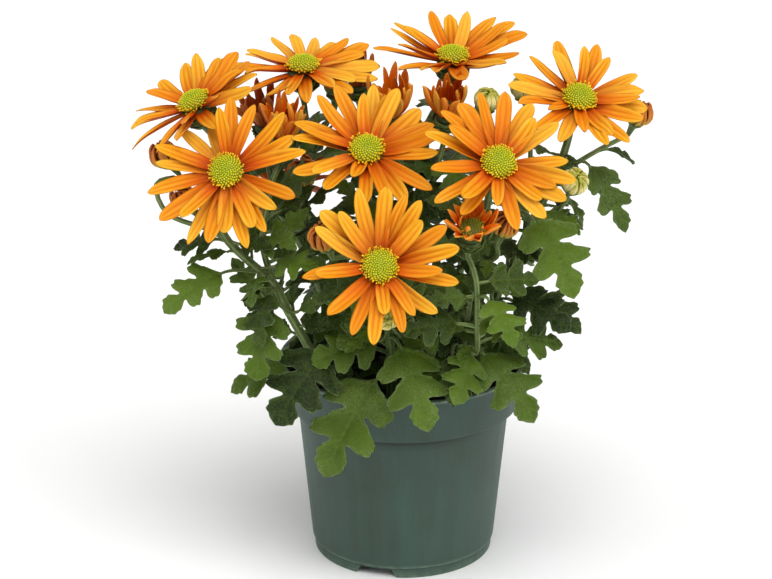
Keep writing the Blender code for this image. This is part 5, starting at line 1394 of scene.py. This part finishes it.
def dress_heads(crowd):
    """The open blooms: their petals, rooted in a button, and their discs."""
    rng, looks = random.Random(SEED), random.Random(SEED + 10)
    frames = {name: head_frame(head.centre, head.yaw, head.rise, DOME_LIFT) for name, head in HEADS.items()}
    for name, frame in frames.items():
        crowd.add(name + "_disc", disc_part(frame))
        crowd.add(name + "_petals", turned(frame, CORE_PROFILE, CORE_SIDES))
    for name, head in HEADS.items():
        petals = head_petals(name, frames[name], head, crowd, rng)
        for place, width in petals:
            crowd.add(name + "_petals", petal(place, width, PETAL_THICK))
        rays = Surface()
        rays.add_even(turned(frames[name], CORE_PROFILE, CORE_FINE_SIDES), 2, CORE_SPOT)
        for direction, (place, width) in zip(head.lower + head.upper, petals):
            place = cut_short(place, CURLED_PETALS.get((name, direction), 1.0))
            ray_petal(rays, place, width * PETAL_SPREAD, looks)
        paints = (PAINT["petal"], PAINT["petal_back"], PAINT["bract"])
        rays.make(name + "_rays", name + "_petals", paints, "petals")
        disc = florets(frames[name], DISC_DOME, looks)
        disc.make(name + "_florets", name + "_disc", (PAINT["floret"],), "disc_florets")


def quill(surface, place, width, looks, longer):
    """A petal of a half-open bloom, rolled in from both edges, with a narrow tip."""
    tone, drawn = looks.random(), draw(QUILL_VARIES, looks)

    def half(share):
        return width / 2 * strap(share, drawn.blunt, QUILL_ROOT)

    def height(share, v):
        wave = QUILL_WAVE * math.cos(share * QUILL_WAVE_BEAT + tone * 6) * v
        return QUILL_MID + half(share) * drawn.roll * v * v + wave - QUILL_CREASE * bell(v, 0.3)

    def swaying(share, across, up):
        sway = drawn.sway * math.sin(share * drawn.beat)
        return place(share * drawn.stretch * longer, across + sway, up + drawn.hook * share ** 3)

    blade(surface, swaying, QUILL_ROWS, half, height, tone, QUILL_STEPS)


def inner_quills(surface, frame, young, looks):
    """A second row of petals, steeper and shorter, between those that the bloom's solid has."""
    for k in range(young.petals):
        drawn = draw(INNER_VARIES, looks)
        outward = level(math.tau * (k + 0.5 + drawn.turn) / young.petals)
        along = raised(outward, math.radians(STEEP_YOUNG - young.spread * LESS_STEEP + drawn.lean))
        local = frame @ frame_of(outward * (YOUNG_ROOT + INNER_OUTWARD), along, UP)
        length = young.height * drawn.length
        if young.disc and (frame.to_3x3() @ outward).y < 0:
            length *= FRONT_SHORTER
        place = bent(local, length, math.radians(YOUNG_CURL + drawn.curl), 0.0, drawn.roll)
        quill(surface, place, YOUNG_WIDTH * drawn.width, looks, YOUNG_LONGER[young.colour])


def dress_young(crowd):
    """The half-open blooms, two of which show their discs."""
    rng, looks = random.Random(SEED + 1), random.Random(SEED + 11)
    for name, young in YOUNG.items():
        frame = head_frame(young.centre, young.yaw, young.rise, young.height * YOUNG_LIFT)
        if young.disc:
            crowd.add(name + "_disc", turned(frame, YOUNG_DISC_PROFILE, YOUNG_SIDES))
            disc = florets(frame, YOUNG_DOMES[young.disc], looks)
            paint = PAINT["floret_green"] if young.disc == "green" else PAINT["floret_young"]
            disc.make(name + "_florets", name + "_disc", (paint,), "young_disc")
        places = young_petals(name, frame, young, crowd, rng)
        crowd.add(name + "_petals", turned(frame, YOUNG_CORE_PROFILE, YOUNG_SIDES))
        rays = Surface()
        rays.add_even(turned(frame, YOUNG_CORE_PROFILE, YOUNG_CORE_SIDES), 2, CORE_SPOT)
        for place in places:
            width = YOUNG_WIDTH * looks.uniform(*OUTER_WIDTH)
            quill(rays, place, width, looks, YOUNG_LONGER[young.colour])
        inner_quills(rays, frame, young, looks)
        paints = (PAINT[young.colour + "_quill"], PAINT[young.colour + "_quill_back"], PAINT["bract"])
        slot = "young_petals" if young.colour == "red" else "brown_petals"
        rays.make(name + "_rays", name + "_petals", paints, slot)


def dress_buds(crowd):
    """The buds, from cream and closed to brown and loose."""
    looks = random.Random(SEED + 12)
    for name, bud in BUDS.items():
        crowd.add(name, bud_part(head_frame(bud.centre, bud.yaw, bud.rise, 0.0), bud.radius))
        paint = PAINT[bud.colour + "_bud"]
        fine_bud(bud, looks).make(name + "_folded", name, (paint, paint), bud.colour + "_bud")


def fine_stem(surface, shoot, older, looks):
    """The stem of a shoot on the same route as its solid, with the scales of the cup at its end."""
    frame, radius, top, depth = end_of(shoot.ends_at)
    curve, radii = shoot_curve(shoot, older, FINE_STEP)
    radii = [STEM_SLIM[shoot.kind] * r for r in radii]
    for r, z in rounded([(r, z) for z, r in cup_rings(radius, top, depth)]):
        curve.append(frame @ (UP * z))
        radii.append(r)
    ribbed_tube(surface, curve, radii, STEM_FINE_SIDES, looks.random())
    if depth > BUD_CUP_DEPTH:
        bracts(surface, frame, radius, top, depth, looks)


def axil_leaves(shoot, curve, looks):
    """The small leaves that fill the plant between the main ones."""
    turn = looks.uniform(0, math.tau)
    for joint in spaced(curve, AXIL_EVERY, AXIL_EVERY / 2):
        if joint.z < LOWEST_LEAF or (curve[-1] - joint).length < AXIL_NECK:
            continue
        turn += GOLDEN_TURN
        drawn = draw(AXIL_VARIES, looks)
        length = drawn.length + (BACK_LONGER if shoot.stem in BACK_STEMS else 0)
        heading = (level(turn) + UP * drawn.rise).normalized()
        faces = (outward_of(joint) * drawn.facing + UP).normalized()
        along = (heading - faces * heading.dot(faces) * AXIL_UPTURN).normalized()
        base = joint + heading * AXIL_STALK
        kind = "small" if length < LONGEST_SMALL else "medium"
        yield Leaf(shoot.stem, joint, base, base + along * length, faces, drawn.width, LEAF_DROOP, kind)


def dress_stems(crowd, curves):
    """The leafy stems: first the stems, then the leaves as far as each finds room."""
    rng, looks = random.Random(SEED + 2), random.Random(SEED + 13)
    surfaces = {}
    for i, (shoot, curve) in enumerate(curves):
        surface = surfaces.setdefault(shoot.stem, Surface())
        older = [other_curve for other, other_curve in curves[:i] if other.stem == shoot.stem]
        fine_stem(surface, shoot, older, looks)
    wanted = list(KEY_LEAVES)
    for shoot, curve in curves:
        if shoot.kind != "bud":
            wanted += rule_leaves(shoot, curve, rng)
    for shoot, curve in curves:
        if shoot.ends_at not in BARE_SHOOTS:
            wanted += axil_leaves(shoot, curve, looks)
    for leaf in wanted:
        placed = place_leaf(leaf, [curve for shoot, curve in curves if shoot.stem == leaf.stem], crowd)
        if placed is None:
            continue
        place, length, joint = placed
        crowd.add(leaf.stem, leaf_blade(place, leaf, length, LEAF_THICK, [joint]))
        fine_leaf(surfaces[leaf.stem], place, leaf, length, joint, looks)
    paints = (PAINT["leaf"], PAINT["leaf_back"], PAINT["stem"], PAINT["bract"])
    for name, surface in surfaces.items():
        surface.make(name + "_foliage", name, paints, "leaves_and_stems")


def lumpy(radius, height, k, row):
    """The relief of the soil's solid."""
    lump = SOIL_LUMP * math.sin(k * 2.1 + row * 1.7) * math.cos(k * 1.3 + radius)
    return radius, height + (lump if row >= FIRST_LUMPY_ROW else 0)


def softened(profile, radius):
    """A profile of radius, height and a mark of wear and painted light, whose corners are cut by small arcs.
    """
    soft = [profile[0]]
    for before, corner, after in zip(profile, profile[1:], profile[2:]):
        before, corner, after = Vector(before), Vector(corner), Vector(after)
        cut = [min(0.45, radius / (end - corner).xy.length) for end in (before, after)]
        first, last = corner.lerp(before, cut[0]), corner.lerp(after, cut[1])
        for t in (0.0, 0.33, 0.67, 1.0):
            soft.append(tuple(first * (1 - t) ** 2 + corner * 2 * t * (1 - t) + last * t * t))
    return soft + [profile[-1]]


def notch(turn):
    """A cutter with sloping ends, through the foot ring at one place."""
    low, high = NOTCH_WIDTH / 2 + NOTCH_HEIGHT, NOTCH_WIDTH / 2
    section = ((-low, -CUT_PAST), (low, -CUT_PAST), (high, FINE_NOTCH_HEIGHT), (-high, FINE_NOTCH_HEIGHT))
    spin = Matrix.Rotation(turn, 4, "Z")
    near, far = FOOT_RADIUS - NOTCH_INWARD, FOOT_RADIUS + NOTCH_OUTWARD
    points = [spin @ Vector((r, y, z)) for r in (near, far) for y, z in section]
    faces = [(3, 2, 1, 0), (4, 5, 6, 7)] + [(k, (k + 1) % 4, (k + 1) % 4 + 4, k + 4) for k in range(4)]
    return points, faces


def cut_away(piece, cutters):
    """Takes the cutters out of a piece's mesh."""
    group = bpy.data.collections.new("cutters")
    bpy.context.scene.collection.children.link(group)
    for points, faces in cutters:
        mesh = bpy.data.meshes.new("cut")
        mesh.from_pydata(in_metres(points), [], faces)
        group.objects.link(bpy.data.objects.new("cut", mesh))
    cut = piece.modifiers.new("cut", "BOOLEAN")
    cut.operand_type, cut.collection, cut.solver = "COLLECTION", group, "EXACT"
    made = bpy.data.meshes.new_from_object(piece.evaluated_get(bpy.context.evaluated_depsgraph_get()))
    piece.modifiers.clear()
    piece.data = made
    for cutter in list(group.objects):
        bpy.data.objects.remove(cutter)
    bpy.data.collections.remove(group)


def lip_wave(p, turn):
    """How much a point near the pot's lip lies lower than on a true circle."""
    near = max(0.0, p.z - POT_HEIGHT + LIP_HEIGHT) / LIP_HEIGHT
    return LIP_WAVE * (math.sin(turn * 3 + 1) + 0.6 * math.sin(turn * 7) - 1) * near


def pot_cutters():
    """The notches in the foot and the holes in the floor."""
    cutters = [notch(math.radians(turn - 90)) for turn in NOTCH_TURNS]
    low, high = FLOOR_BOTTOM - CUT_PAST, FLOOR_TOP + CUT_PAST
    for k in range(DRAIN_COUNT):
        at = Matrix.Translation(level(math.tau * k / DRAIN_COUNT) * DRAIN_RING)
        profile = ((0, low), (DRAIN_RADIUS, low), (DRAIN_RADIUS, high), (0, high))
        cutters.append(turned(at, profile, DRAIN_FINE_SIDES))
    return cutters


def dress_pot():
    """The pot, turned with rounded edges and a wavy lip, with holes in its floor and notches in its foot."""
    surface = Surface()
    soft = softened(POT_FINE, POT_ROUNDING)
    profile = [(r, z) for r, z, _ in soft]
    points, faces = turned(Matrix.Identity(4), profile, POT_FINE_SIDES, lined_up=True)
    # each point's mark of wear and painted light, which the pot's paint reads
    wear_and_light_by_point = [wear_and_light for r, _, wear_and_light in soft for _ in range(1 if r == 0 else POT_FINE_SIDES)]
    wear_and_light = []
    for p, share in zip(points, wear_and_light_by_point):
        turn = math.atan2(p.y, p.x)
        # a mark under 0 is painted shade under the band, made deepest in front
        if share < 0:
            share *= 1 - FRONT_PAINTED_SHADE + FRONT_PAINTED_SHADE * bell(turn + math.pi / 2, FRONT_WIDTH)
        wear_and_light.append((share, 0.0, 0.0))
        p.z += lip_wave(p, turn)
    surface.add(points, faces, [0] * len(faces), wear_and_light)
    piece = surface.make("pot_moulding", "pot", (PAINT["pot"],), "pot_plastic")
    cut_away(piece, pot_cutters())
    wear_and_light_at = KDTree(len(points))
    for i, p in enumerate(in_metres(points)):
        wear_and_light_at.insert(p, i)
    wear_and_light_at.balance()
    spots = [x for corner in piece.data.vertices for x in wear_and_light[wear_and_light_at.find(corner.co)[1]]]
    piece.data.attributes["spot"].data.foreach_set("vector", spots)
    piece.data.set_sharp_from_angle(angle=SHARP_ANGLE)


def hill(x, y):
    """How high the soil lies at a place."""
    return HILL * noise.noise(Vector((x * HILL_SCALE, y * HILL_SCALE, 3)))


def dress_soil():
    """The soil with its lumps, crumbs and bits of bark."""
    surface = Surface()
    looks = random.Random(SEED + 14)
    profile = list(SOIL_PROFILE[:4]) + [(SOIL_REACH, SOIL_TOP - 2)]
    profile += [(SOIL_REACH * (1 - i / SOIL_RINGS), SOIL_TOP - 1) for i in range(SOIL_RINGS)]
    profile.append((0, SOIL_TOP))
    points, faces = turned(Matrix.Identity(4), profile, SOIL_FINE_SIDES, lined_up=True)
    for p in points:
        if p.z > SOIL_ROUGH_FROM:
            p.z += hill(p.x, p.y) + LUMP * noise.noise(p * LUMP_SCALE)
    surface.add_even((points, faces))
    for _ in range(CRUMBS):
        radius, turn = CRUMB_REACH * math.sqrt(looks.random()), looks.uniform(0, math.tau)
        at = level(turn) * radius + UP * (SOIL_TOP - CRUMB_DEPTH)
        at.z += hill(at.x, at.y)
        out = Vector((looks.uniform(-1, 1), looks.uniform(-1, 1), 1)).normalized()
        size = looks.uniform(*CRUMB_SIZE)
        across = out.cross(Vector((looks.uniform(-1, 1), 1, 0))).normalized() * looks.uniform(*CRUMB_STRETCH)
        slot = 1 if looks.random() < PALE_CRUMBS else 0
        knob(surface, at, out, across, size, CRUMB, CRUMB_SIDES, (0.0, looks.random()), slot)
    surface.make("soil_surface", "soil", (PAINT["soil"], PAINT["grit"]), "potting_soil")


# Materials
class Paint:
    """A material's nodes, wired by short calls. The shader's own values are set by name."""

    def __init__(self, name, **values):
        self.material = bpy.data.materials.new(name)
        self.material.use_nodes = True
        self.nodes = self.material.node_tree.nodes
        self.links = self.material.node_tree.links
        self.shader = self.nodes["Principled BSDF"]
        for key, value in values.items():
            self.shader.inputs[key.replace("_", " ")].default_value = value

    def feed(self, socket, value):
        """Links a socket to another, or sets its value."""
        if isinstance(value, bpy.types.NodeSocket):
            self.links.new(value, socket)
        elif socket.type == "RGBA" and len(value) == 3:
            socket.default_value = (*value, 1.0)
        else:
            socket.default_value = value

    def node(self, kind, inputs, output=0, **settings):
        """One output of a new node, given its inputs by name or number, and its settings."""
        made = self.nodes.new("ShaderNode" + kind)
        for key, value in settings.items():
            setattr(made, key, value)
        for key, value in inputs.items():
            self.feed(made.inputs[key], value)
        return made.outputs[output]

    def spot(self):
        """The three numbers of a point's spot, as sockets."""
        split = self.nodes.new("ShaderNodeSeparateXYZ")
        self.feed(split.inputs[0], self.node("Attribute", {}, "Vector", attribute_name="spot"))
        return split.outputs

    def object_point(self, stretch=(1, 1, 1)):
        """The point in metres, stretched."""
        return self.node("Mapping", {"Vector": self.node("TexCoord", {}, "Object"), "Scale": stretch})

    def join(self, x, y, z):
        return self.node("CombineXYZ", {0: x, 1: y, 2: z})

    def noise(self, vector, scale, detail=3.0, rough=0.55):
        return self.node("TexNoise", {"Vector": vector, "Scale": scale, "Detail": detail, "Roughness": rough})

    def cells(self, vector, scale):
        """How far a point is from the edge of its cell."""
        inputs = {"Vector": vector, "Scale": scale}
        return self.node("TexVoronoi", inputs, "Distance", feature="DISTANCE_TO_EDGE")

    def maths(self, operation, *values):
        return self.node("Math", dict(enumerate(values)), operation=operation)

    def times(self, a, b):
        return self.maths("MULTIPLY", a, b)

    def plus(self, a, b):
        return self.maths("ADD", a, b)

    def minus(self, a, b):
        return self.maths("SUBTRACT", a, b)

    def larger(self, a, b):
        return self.maths("MAXIMUM", a, b)

    def size(self, value):
        return self.maths("ABSOLUTE", value)

    def fit(self, value, low, high, to_low=0.0, to_high=1.0):
        """A value's stretch from low to high, as a stretch from to_low to to_high, held at its ends."""
        return self.node("MapRange", dict(enumerate((value, low, high, to_low, to_high))))

    def ramp(self, value, *stops):
        made = self.nodes.new("ShaderNodeValToRGB")
        self.feed(made.inputs[0], value)
        elements = made.color_ramp.elements
        while len(elements) < len(stops):
            elements.new(1.0)
        for element, (at, colour) in zip(elements, stops):
            element.position = at
            element.color = (*colour, 1.0)
        return made.outputs[0]

    def mix(self, share, a, b):
        return self.node("Mix", {0: share, 6: a, 7: b}, 2, data_type="RGBA")

    def colour(self, value):
        self.feed(self.shader.inputs["Base Color"], value)

    def rough(self, value):
        self.feed(self.shader.inputs["Roughness"], value)

    def bump(self, height, distance, strength):
        normal = self.node("Bump", {"Strength": strength, "Distance": distance, "Height": height})
        self.feed(self.shader.inputs["Normal"], normal)


def petal_paint(name, stops, streak, groove, tint, ridge):
    """Petals: a colour along them, fine streaks, grooves darkened by their own lines and by painted shade,
    a painted highlight on the ridges and a tone of their own.
    """
    paint = Paint(name, Specular_IOR_Level=0.14, Subsurface_Weight=0.1, Subsurface_Scale=0.001,
                  Subsurface_Radius=(1.0, 0.35, 0.05))
    share, across, tone = paint.spot()
    stretched = paint.join(paint.times(share, 2.2), paint.times(across, 9.0), paint.times(tone, 60.0))
    fibres = paint.noise(stretched, 1.7, 4.0, 0.6)
    patch = paint.noise(paint.join(share, across, paint.times(tone, 40.0)), 1.6, 2.0)
    along = paint.plus(share, paint.times(paint.minus(patch, 0.5), 0.35))
    body = paint.ramp(along, *stops)
    body = paint.mix(paint.times(paint.fit(fibres, 0.46, 0.68), 0.65), body, streak)
    off = paint.size(paint.minus(paint.size(across), 0.34))
    # painted highlight on the ridges between the grooves
    ridge_highlight = paint.times(paint.fit(off, 0.14, 0.3, 0.0, 0.6), paint.fit(share, 0.3, 0.7))
    body = paint.mix(paint.times(ridge_highlight, paint.fit(patch, 0.35, 0.65)), body, ridge)
    # the grooves darken, partly by their own darker lines and partly as painted shade; the edges by their own
    # deeper orange
    narrow = paint.fit(off, 0.02, 0.17, 0.7, 0.0)
    edge = paint.fit(paint.size(across), 0.8, 1.0, 0.0, 0.5)
    faded = paint.times(paint.larger(narrow, edge), paint.fit(share, 0.15, 1.0, 1.0, 0.3))
    body = paint.mix(faded, body, groove)
    body = paint.mix(paint.fit(tone, 0.4, 1.0, 0.0, 0.5), body, tint)
    body = paint.mix(paint.fit(tone, 0.4, 0.0, 0.0, 0.45), body, ridge)
    paint.colour(body)
    paint.rough(paint.fit(fibres, 0.3, 0.7, 0.45, 0.62))
    paint.bump(fibres, 0.0004, 0.5)
    return paint.material


def floret_paint(name, middle, edge, open_colour):
    """Florets: green in the middle of the disc, yellower outwards, yellow where open, with painted shade low
    on each floret and on the dome between them.
    """
    paint = Paint(name, Roughness=0.5, Specular_IOR_Level=0.25)
    out, height, tone = paint.spot()
    between = tuple((a + b) / 2 for a, b in zip(edge, open_colour))
    stops = ((0.0, middle), (0.5, edge), (0.76, between), (0.9, open_colour))
    body = paint.ramp(paint.fit(out, 0.0, 1.3), *stops)
    body = paint.mix(paint.fit(tone, 0.0, 1.0, 0.0, 0.35), body, tuple(min(1.0, c * 1.5) for c in edge))
    # painted shade, deepest at the foot of each floret and on the dome between them
    body = paint.mix(paint.fit(height, 1.0, 0.0, 0.0, 0.85), body, tuple(c * 0.35 for c in middle))
    paint.colour(body)
    return paint.material


def leaf_paint(name, dark, light, vein_colour, felt_share):
    """Leaves: patches of green, a net of fine veins, pale main veins and rim, patches of whitish felt."""
    paint = Paint(name, Specular_IOR_Level=0.18)
    vein, rim, tone = paint.spot()
    point = paint.object_point()
    patch = paint.noise(point, 60.0, 3.0)
    # the tone also carries the painted shade of leaves inside the plant
    body = paint.mix(paint.fit(paint.plus(patch, tone), 0.4, 1.4), dark, light)
    net = paint.fit(paint.cells(point, 420.0), 0.0, 0.07, 0.35, 0.0)
    body = paint.mix(net, body, vein_colour)
    hairs = paint.noise(point, 1800.0, 3.0, 0.7)
    area = paint.fit(paint.noise(point, 38.0, 3.0), 0.42, 0.66, 0.05, 1.0)
    near_rim = paint.fit(rim, 0.0, 0.6, 0.0, 0.6)
    share = paint.times(paint.fit(hairs, 0.46, 0.64), paint.plus(area, near_rim))
    clear = paint.fit(tone, -0.1, 0.4, 0.35, 1.0)
    body = paint.mix(paint.times(paint.times(share, clear), felt_share), body, FELT)
    body = paint.mix(paint.times(paint.fit(vein, 0.4, 0.95, 0.0, 0.6), clear), body, vein_colour)
    edge = paint.fit(paint.plus(rim, paint.noise(point, 500.0)), 1.15, 1.5, 0.0, 0.8)
    paint.colour(paint.mix(edge, body, RIM_COLOUR))
    fine = paint.noise(point, 900.0, 3.0)
    paint.rough(paint.fit(fine, 0.3, 0.7, 0.45, 0.65))
    raised_net = paint.fit(net, 0.0, 0.35, 0.6, 0.0)
    paint.bump(paint.plus(raised_net, paint.times(fine, 0.6)), 0.0005, 0.5)
    return paint.material


def stem_paint(name, groove, ridge):
    """Stems: pale ribs, greener between them, with blushes and short felt."""
    paint = Paint(name, Roughness=0.6, Specular_IOR_Level=0.3)
    rib = paint.spot()[0]
    point = paint.object_point()
    body = paint.mix(paint.fit(paint.plus(rib, paint.noise(point, 300.0)), 0.6, 1.5), groove, ridge)
    body = paint.mix(paint.fit(paint.noise(point, 50.0), 0.55, 0.8, 0.0, 0.5), body, STEM_BLUSH)
    body = paint.mix(paint.fit(paint.noise(point, 2600.0, 2.0), 0.55, 0.75, 0.0, 0.45), body, FELT)
    paint.colour(body)
    paint.bump(paint.noise(point, 1500.0, 2.0), 0.0003, 0.5)
    return paint.material


def bud_paint(name, base, middle, tip, line):
    """Buds: a colour from the base to the top, with a line down the middle of each folded petal."""
    paint = Paint(name, Roughness=0.5, Specular_IOR_Level=0.2)
    share, across, tone = paint.spot()
    patch = paint.noise(paint.join(share, across, paint.times(tone, 40.0)), 2.5, 3.0)
    along = paint.plus(share, paint.times(paint.minus(patch, 0.5), 0.5))
    body = paint.ramp(along, (0.34, base), (0.56, middle), (0.72, middle), (0.9, tip))
    body = paint.mix(paint.fit(tone, 0.6, 1.0, 0.0, 0.4), body, tip)
    middle_line = paint.fit(paint.size(across), 0.0, 0.3, 0.25, 0.0)
    edge_line = paint.fit(paint.size(across), 0.6, 0.95, 0.0, 0.75)
    body = paint.mix(paint.larger(middle_line, edge_line), body, line)
    paint.colour(body)
    paint.bump(patch, 0.0004, 0.4)
    return paint.material


def pot_paint(name, body_colour, light, dust_and_highlight):
    """The pot's matt plastic: faint upright streaks from moulding, fine grain, a little dust, wear with a
    painted highlight on the lip and foot edges, and painted shade under the band.
    """
    paint = Paint(name, Roughness=0.55, Specular_IOR_Level=0.4)
    streaks = paint.noise(paint.object_point((1.0, 1.0, 0.04)), 160.0, 4.0)
    clouds = paint.noise(paint.object_point(), 22.0, 3.0)
    body = paint.mix(paint.fit(paint.plus(streaks, clouds), 0.7, 1.3), body_colour, light)
    grain = paint.noise(paint.object_point(), 3500.0, 2.0)
    body = paint.mix(paint.fit(grain, 0.6, 0.8, 0.0, 0.25), body, dust_and_highlight)
    # over 0 the mark is wear with a painted highlight on the lip and foot edges, in patches
    wear_and_light = paint.spot()[0]
    patchy = paint.fit(paint.noise(paint.object_point(), 240.0), 0.3, 0.7, 0.2, 1.0)
    body = paint.mix(paint.times(paint.fit(wear_and_light, 0.0, 1.0, 0.0, 0.75), patchy), body, dust_and_highlight)
    # under 0 the mark is painted shade under the band
    body = paint.mix(paint.fit(wear_and_light, 0.0, -1.0, 0.0, 0.75), body, tuple(c * 0.2 for c in body_colour))
    paint.colour(body)
    paint.rough(paint.fit(streaks, 0.3, 0.7, 0.45, 0.62))
    paint.bump(paint.plus(grain, paint.times(streaks, 1.5)), 0.0002, 0.35)
    return paint.material


def soil_paint(name, dark, light):
    """Soil: coarse grain between two colours."""
    paint = Paint(name, Roughness=0.95, Specular_IOR_Level=0.2)
    grain = paint.noise(paint.object_point(), 420.0, 6.0, 0.7)
    paint.colour(paint.mix(paint.fit(grain, 0.4, 0.75), dark, light))
    paint.bump(grain, 0.0015, 0.9)
    return paint.material


# Each kind of paint, with what its paints are mixed from by the names that the pieces know them by.
PAINT_KINDS = (
    (petal_paint, {
        "petal": (PETAL_STOPS, PETAL_STREAK, PETAL_LINE, PETAL_TINT, PETAL_HIGHLIGHT),
        "petal_back": (PETAL_BACK_STOPS, PETAL_BACK_STREAK, PETAL_LINE, PETAL_LINE, PETAL_STREAK),
        "red_quill": (QUILL_STOPS, QUILL_STREAK, QUILL_LINE, PETAL_LINE, PETAL_STREAK),
        "red_quill_back": (QUILL_BACK_STOPS, QUILL_STREAK, QUILL_STREAK, PETAL_STREAK, PETAL_HIGHLIGHT),
        "brown_quill": (BROWN_STOPS, BROWN_LINE, BROWN_LINE, PETAL_LINE, PETAL_LINE),
        "brown_quill_back": (BROWN_BACK_STOPS, BROWN_LINE, BROWN_LINE, PETAL_LINE, PETAL_STREAK),
    }),
    (floret_paint, {
        "floret": ((0.46, 0.56, 0.010), (0.60, 0.58, 0.012), (0.86, 0.46, 0.008)),
        "floret_young": ((0.13, 0.14, 0.010), (0.24, 0.26, 0.012), (0.40, 0.34, 0.015)),
        "floret_green": ((0.07, 0.07, 0.009), (0.13, 0.11, 0.012), (0.2, 0.16, 0.015)),
    }),
    (leaf_paint, {
        "leaf": (LEAF_DARK, LEAF_LIGHT, VEIN_COLOUR, 0.34),
        "leaf_back": (BACK_DARK, BACK_LIGHT, BACK_VEIN, 0.4),
    }),
    (stem_paint, {"stem": (STEM_GROOVE, STEM_RIDGE), "bract": (BRACT_DARK, BRACT_LIGHT)}),
    (bud_paint, {
        "cream_bud": ((0.20, 0.25, 0.03), (0.80, 0.70, 0.28), (0.40, 0.38, 0.05), (0.22, 0.24, 0.03)),
        "green_bud": ((0.10, 0.16, 0.04), (0.22, 0.30, 0.07), (0.40, 0.30, 0.10), (0.09, 0.14, 0.03)),
        "brown_bud": ((0.58, 0.42, 0.07), (0.62, 0.22, 0.03), (0.46, 0.12, 0.02), (0.17, 0.03, 0.008)),
    }),
    (pot_paint, {"pot": (POT_DARK, POT_LIGHT, POT_DUST_AND_HIGHLIGHT)}),
    (soil_paint, {
        "soil": ((0.010, 0.007, 0.005), (0.045, 0.030, 0.020)),
        "grit": ((0.10, 0.07, 0.04), (0.30, 0.24, 0.17)),
    }),
)


def make_paints():
    """All materials, by the names that the pieces know them by."""
    paints = {name: make(name, *mixed) for make, kind in PAINT_KINDS for name, mixed in kind.items()}
    paints["floor"] = Paint("floor", Roughness=0.85, Base_Color=FLOOR_COLOUR).material
    return paints


# The studio
def stage_floor():
    """A pale round floor that curves up into a low wall all round."""
    profile = [(FLOOR_RADIUS / 2, 0.0), (FLOOR_RADIUS, 0.0)]
    for i in range(1, BEND_STEPS + 1):
        turn = math.pi / 2 * i / BEND_STEPS
        profile.append((FLOOR_RADIUS + FLOOR_BEND * math.sin(turn), FLOOR_BEND * (1 - math.cos(turn))))
    profile.append((FLOOR_RADIUS + FLOOR_BEND, WALL_TOP))
    turns = [math.tau * i / FLOOR_SIDES for i in range(FLOOR_SIDES)]
    points = [(r * math.cos(turn), r * math.sin(turn), z) for r, z in profile for turn in turns]
    faces = [tuple(range(FLOOR_SIDES))] + [(b, a, d, c) for a, b, c, d in bands(len(profile), FLOOR_SIDES)]
    mesh = bpy.data.meshes.new("floor")
    mesh.from_pydata(points, [], faces)
    mesh.shade_smooth()
    mesh.materials.append(PAINT["floor"])
    floor = bpy.data.objects.new("floor", mesh)
    bpy.context.scene.collection.objects.link(floor)


def soft_light(name, towards, power, softness, colour):
    """A lamp far away in a direction, as soft as a wide screen."""
    lamp = bpy.data.lights.new(name, "SUN")
    lamp.energy = power
    lamp.angle = math.radians(softness)
    lamp.color = colour
    lit = bpy.data.objects.new(name, lamp)
    lit.rotation_euler = Vector(towards).to_track_quat("Z", "Y").to_euler()
    bpy.context.scene.collection.objects.link(lit)


def studio():
    """The lamps, the light of the room and the camera at the photograph's angle."""
    world = bpy.data.worlds.new("room")
    world.use_nodes = True
    world.node_tree.nodes["Background"].inputs["Color"].default_value = (1, 1, 1, 1)
    world.node_tree.nodes["Background"].inputs["Strength"].default_value = ROOM_LIGHT
    scene = bpy.context.scene
    scene.world = world
    for name, values in LAMPS.items():
        soft_light(name, *values)
    scene.view_settings.view_transform = "Standard"
    lens = bpy.data.cameras.new("camera")
    lens.lens = CAMERA_LENS
    lens.sensor_width = 36.0
    camera = bpy.data.objects.new("camera", lens)
    back = Vector((0, -math.cos(CAMERA_PITCH), math.sin(CAMERA_PITCH)))
    camera.location = Vector(LOOK_AT) + back * CAMERA_AWAY
    camera.rotation_euler = (-back).to_track_quat("-Z", "Y").to_euler()
    scene.collection.objects.link(camera)
    scene.camera = camera


PAINT = make_paints()
PATTERNS = {kind: [leaf_pattern(kind, k * PATTERN_STEP + 1) for k in range(PATTERN_COUNT)]
            for kind in FINE_KINDS}
stage_floor()
studio()
everything = Crowd()
everything.add("pot", turned(Matrix.Identity(4), POT_PROFILE, POT_SIDES, lined_up=True))
dress_buds(everything)
stem_curves = grow_shoots(everything)
everything.add("soil", turned(Matrix.Identity(4), SOIL_PROFILE, SOIL_SIDES, lumpy))
dress_heads(everything)
dress_young(everything)
dress_stems(everything, stem_curves)
dress_pot()
dress_soil()
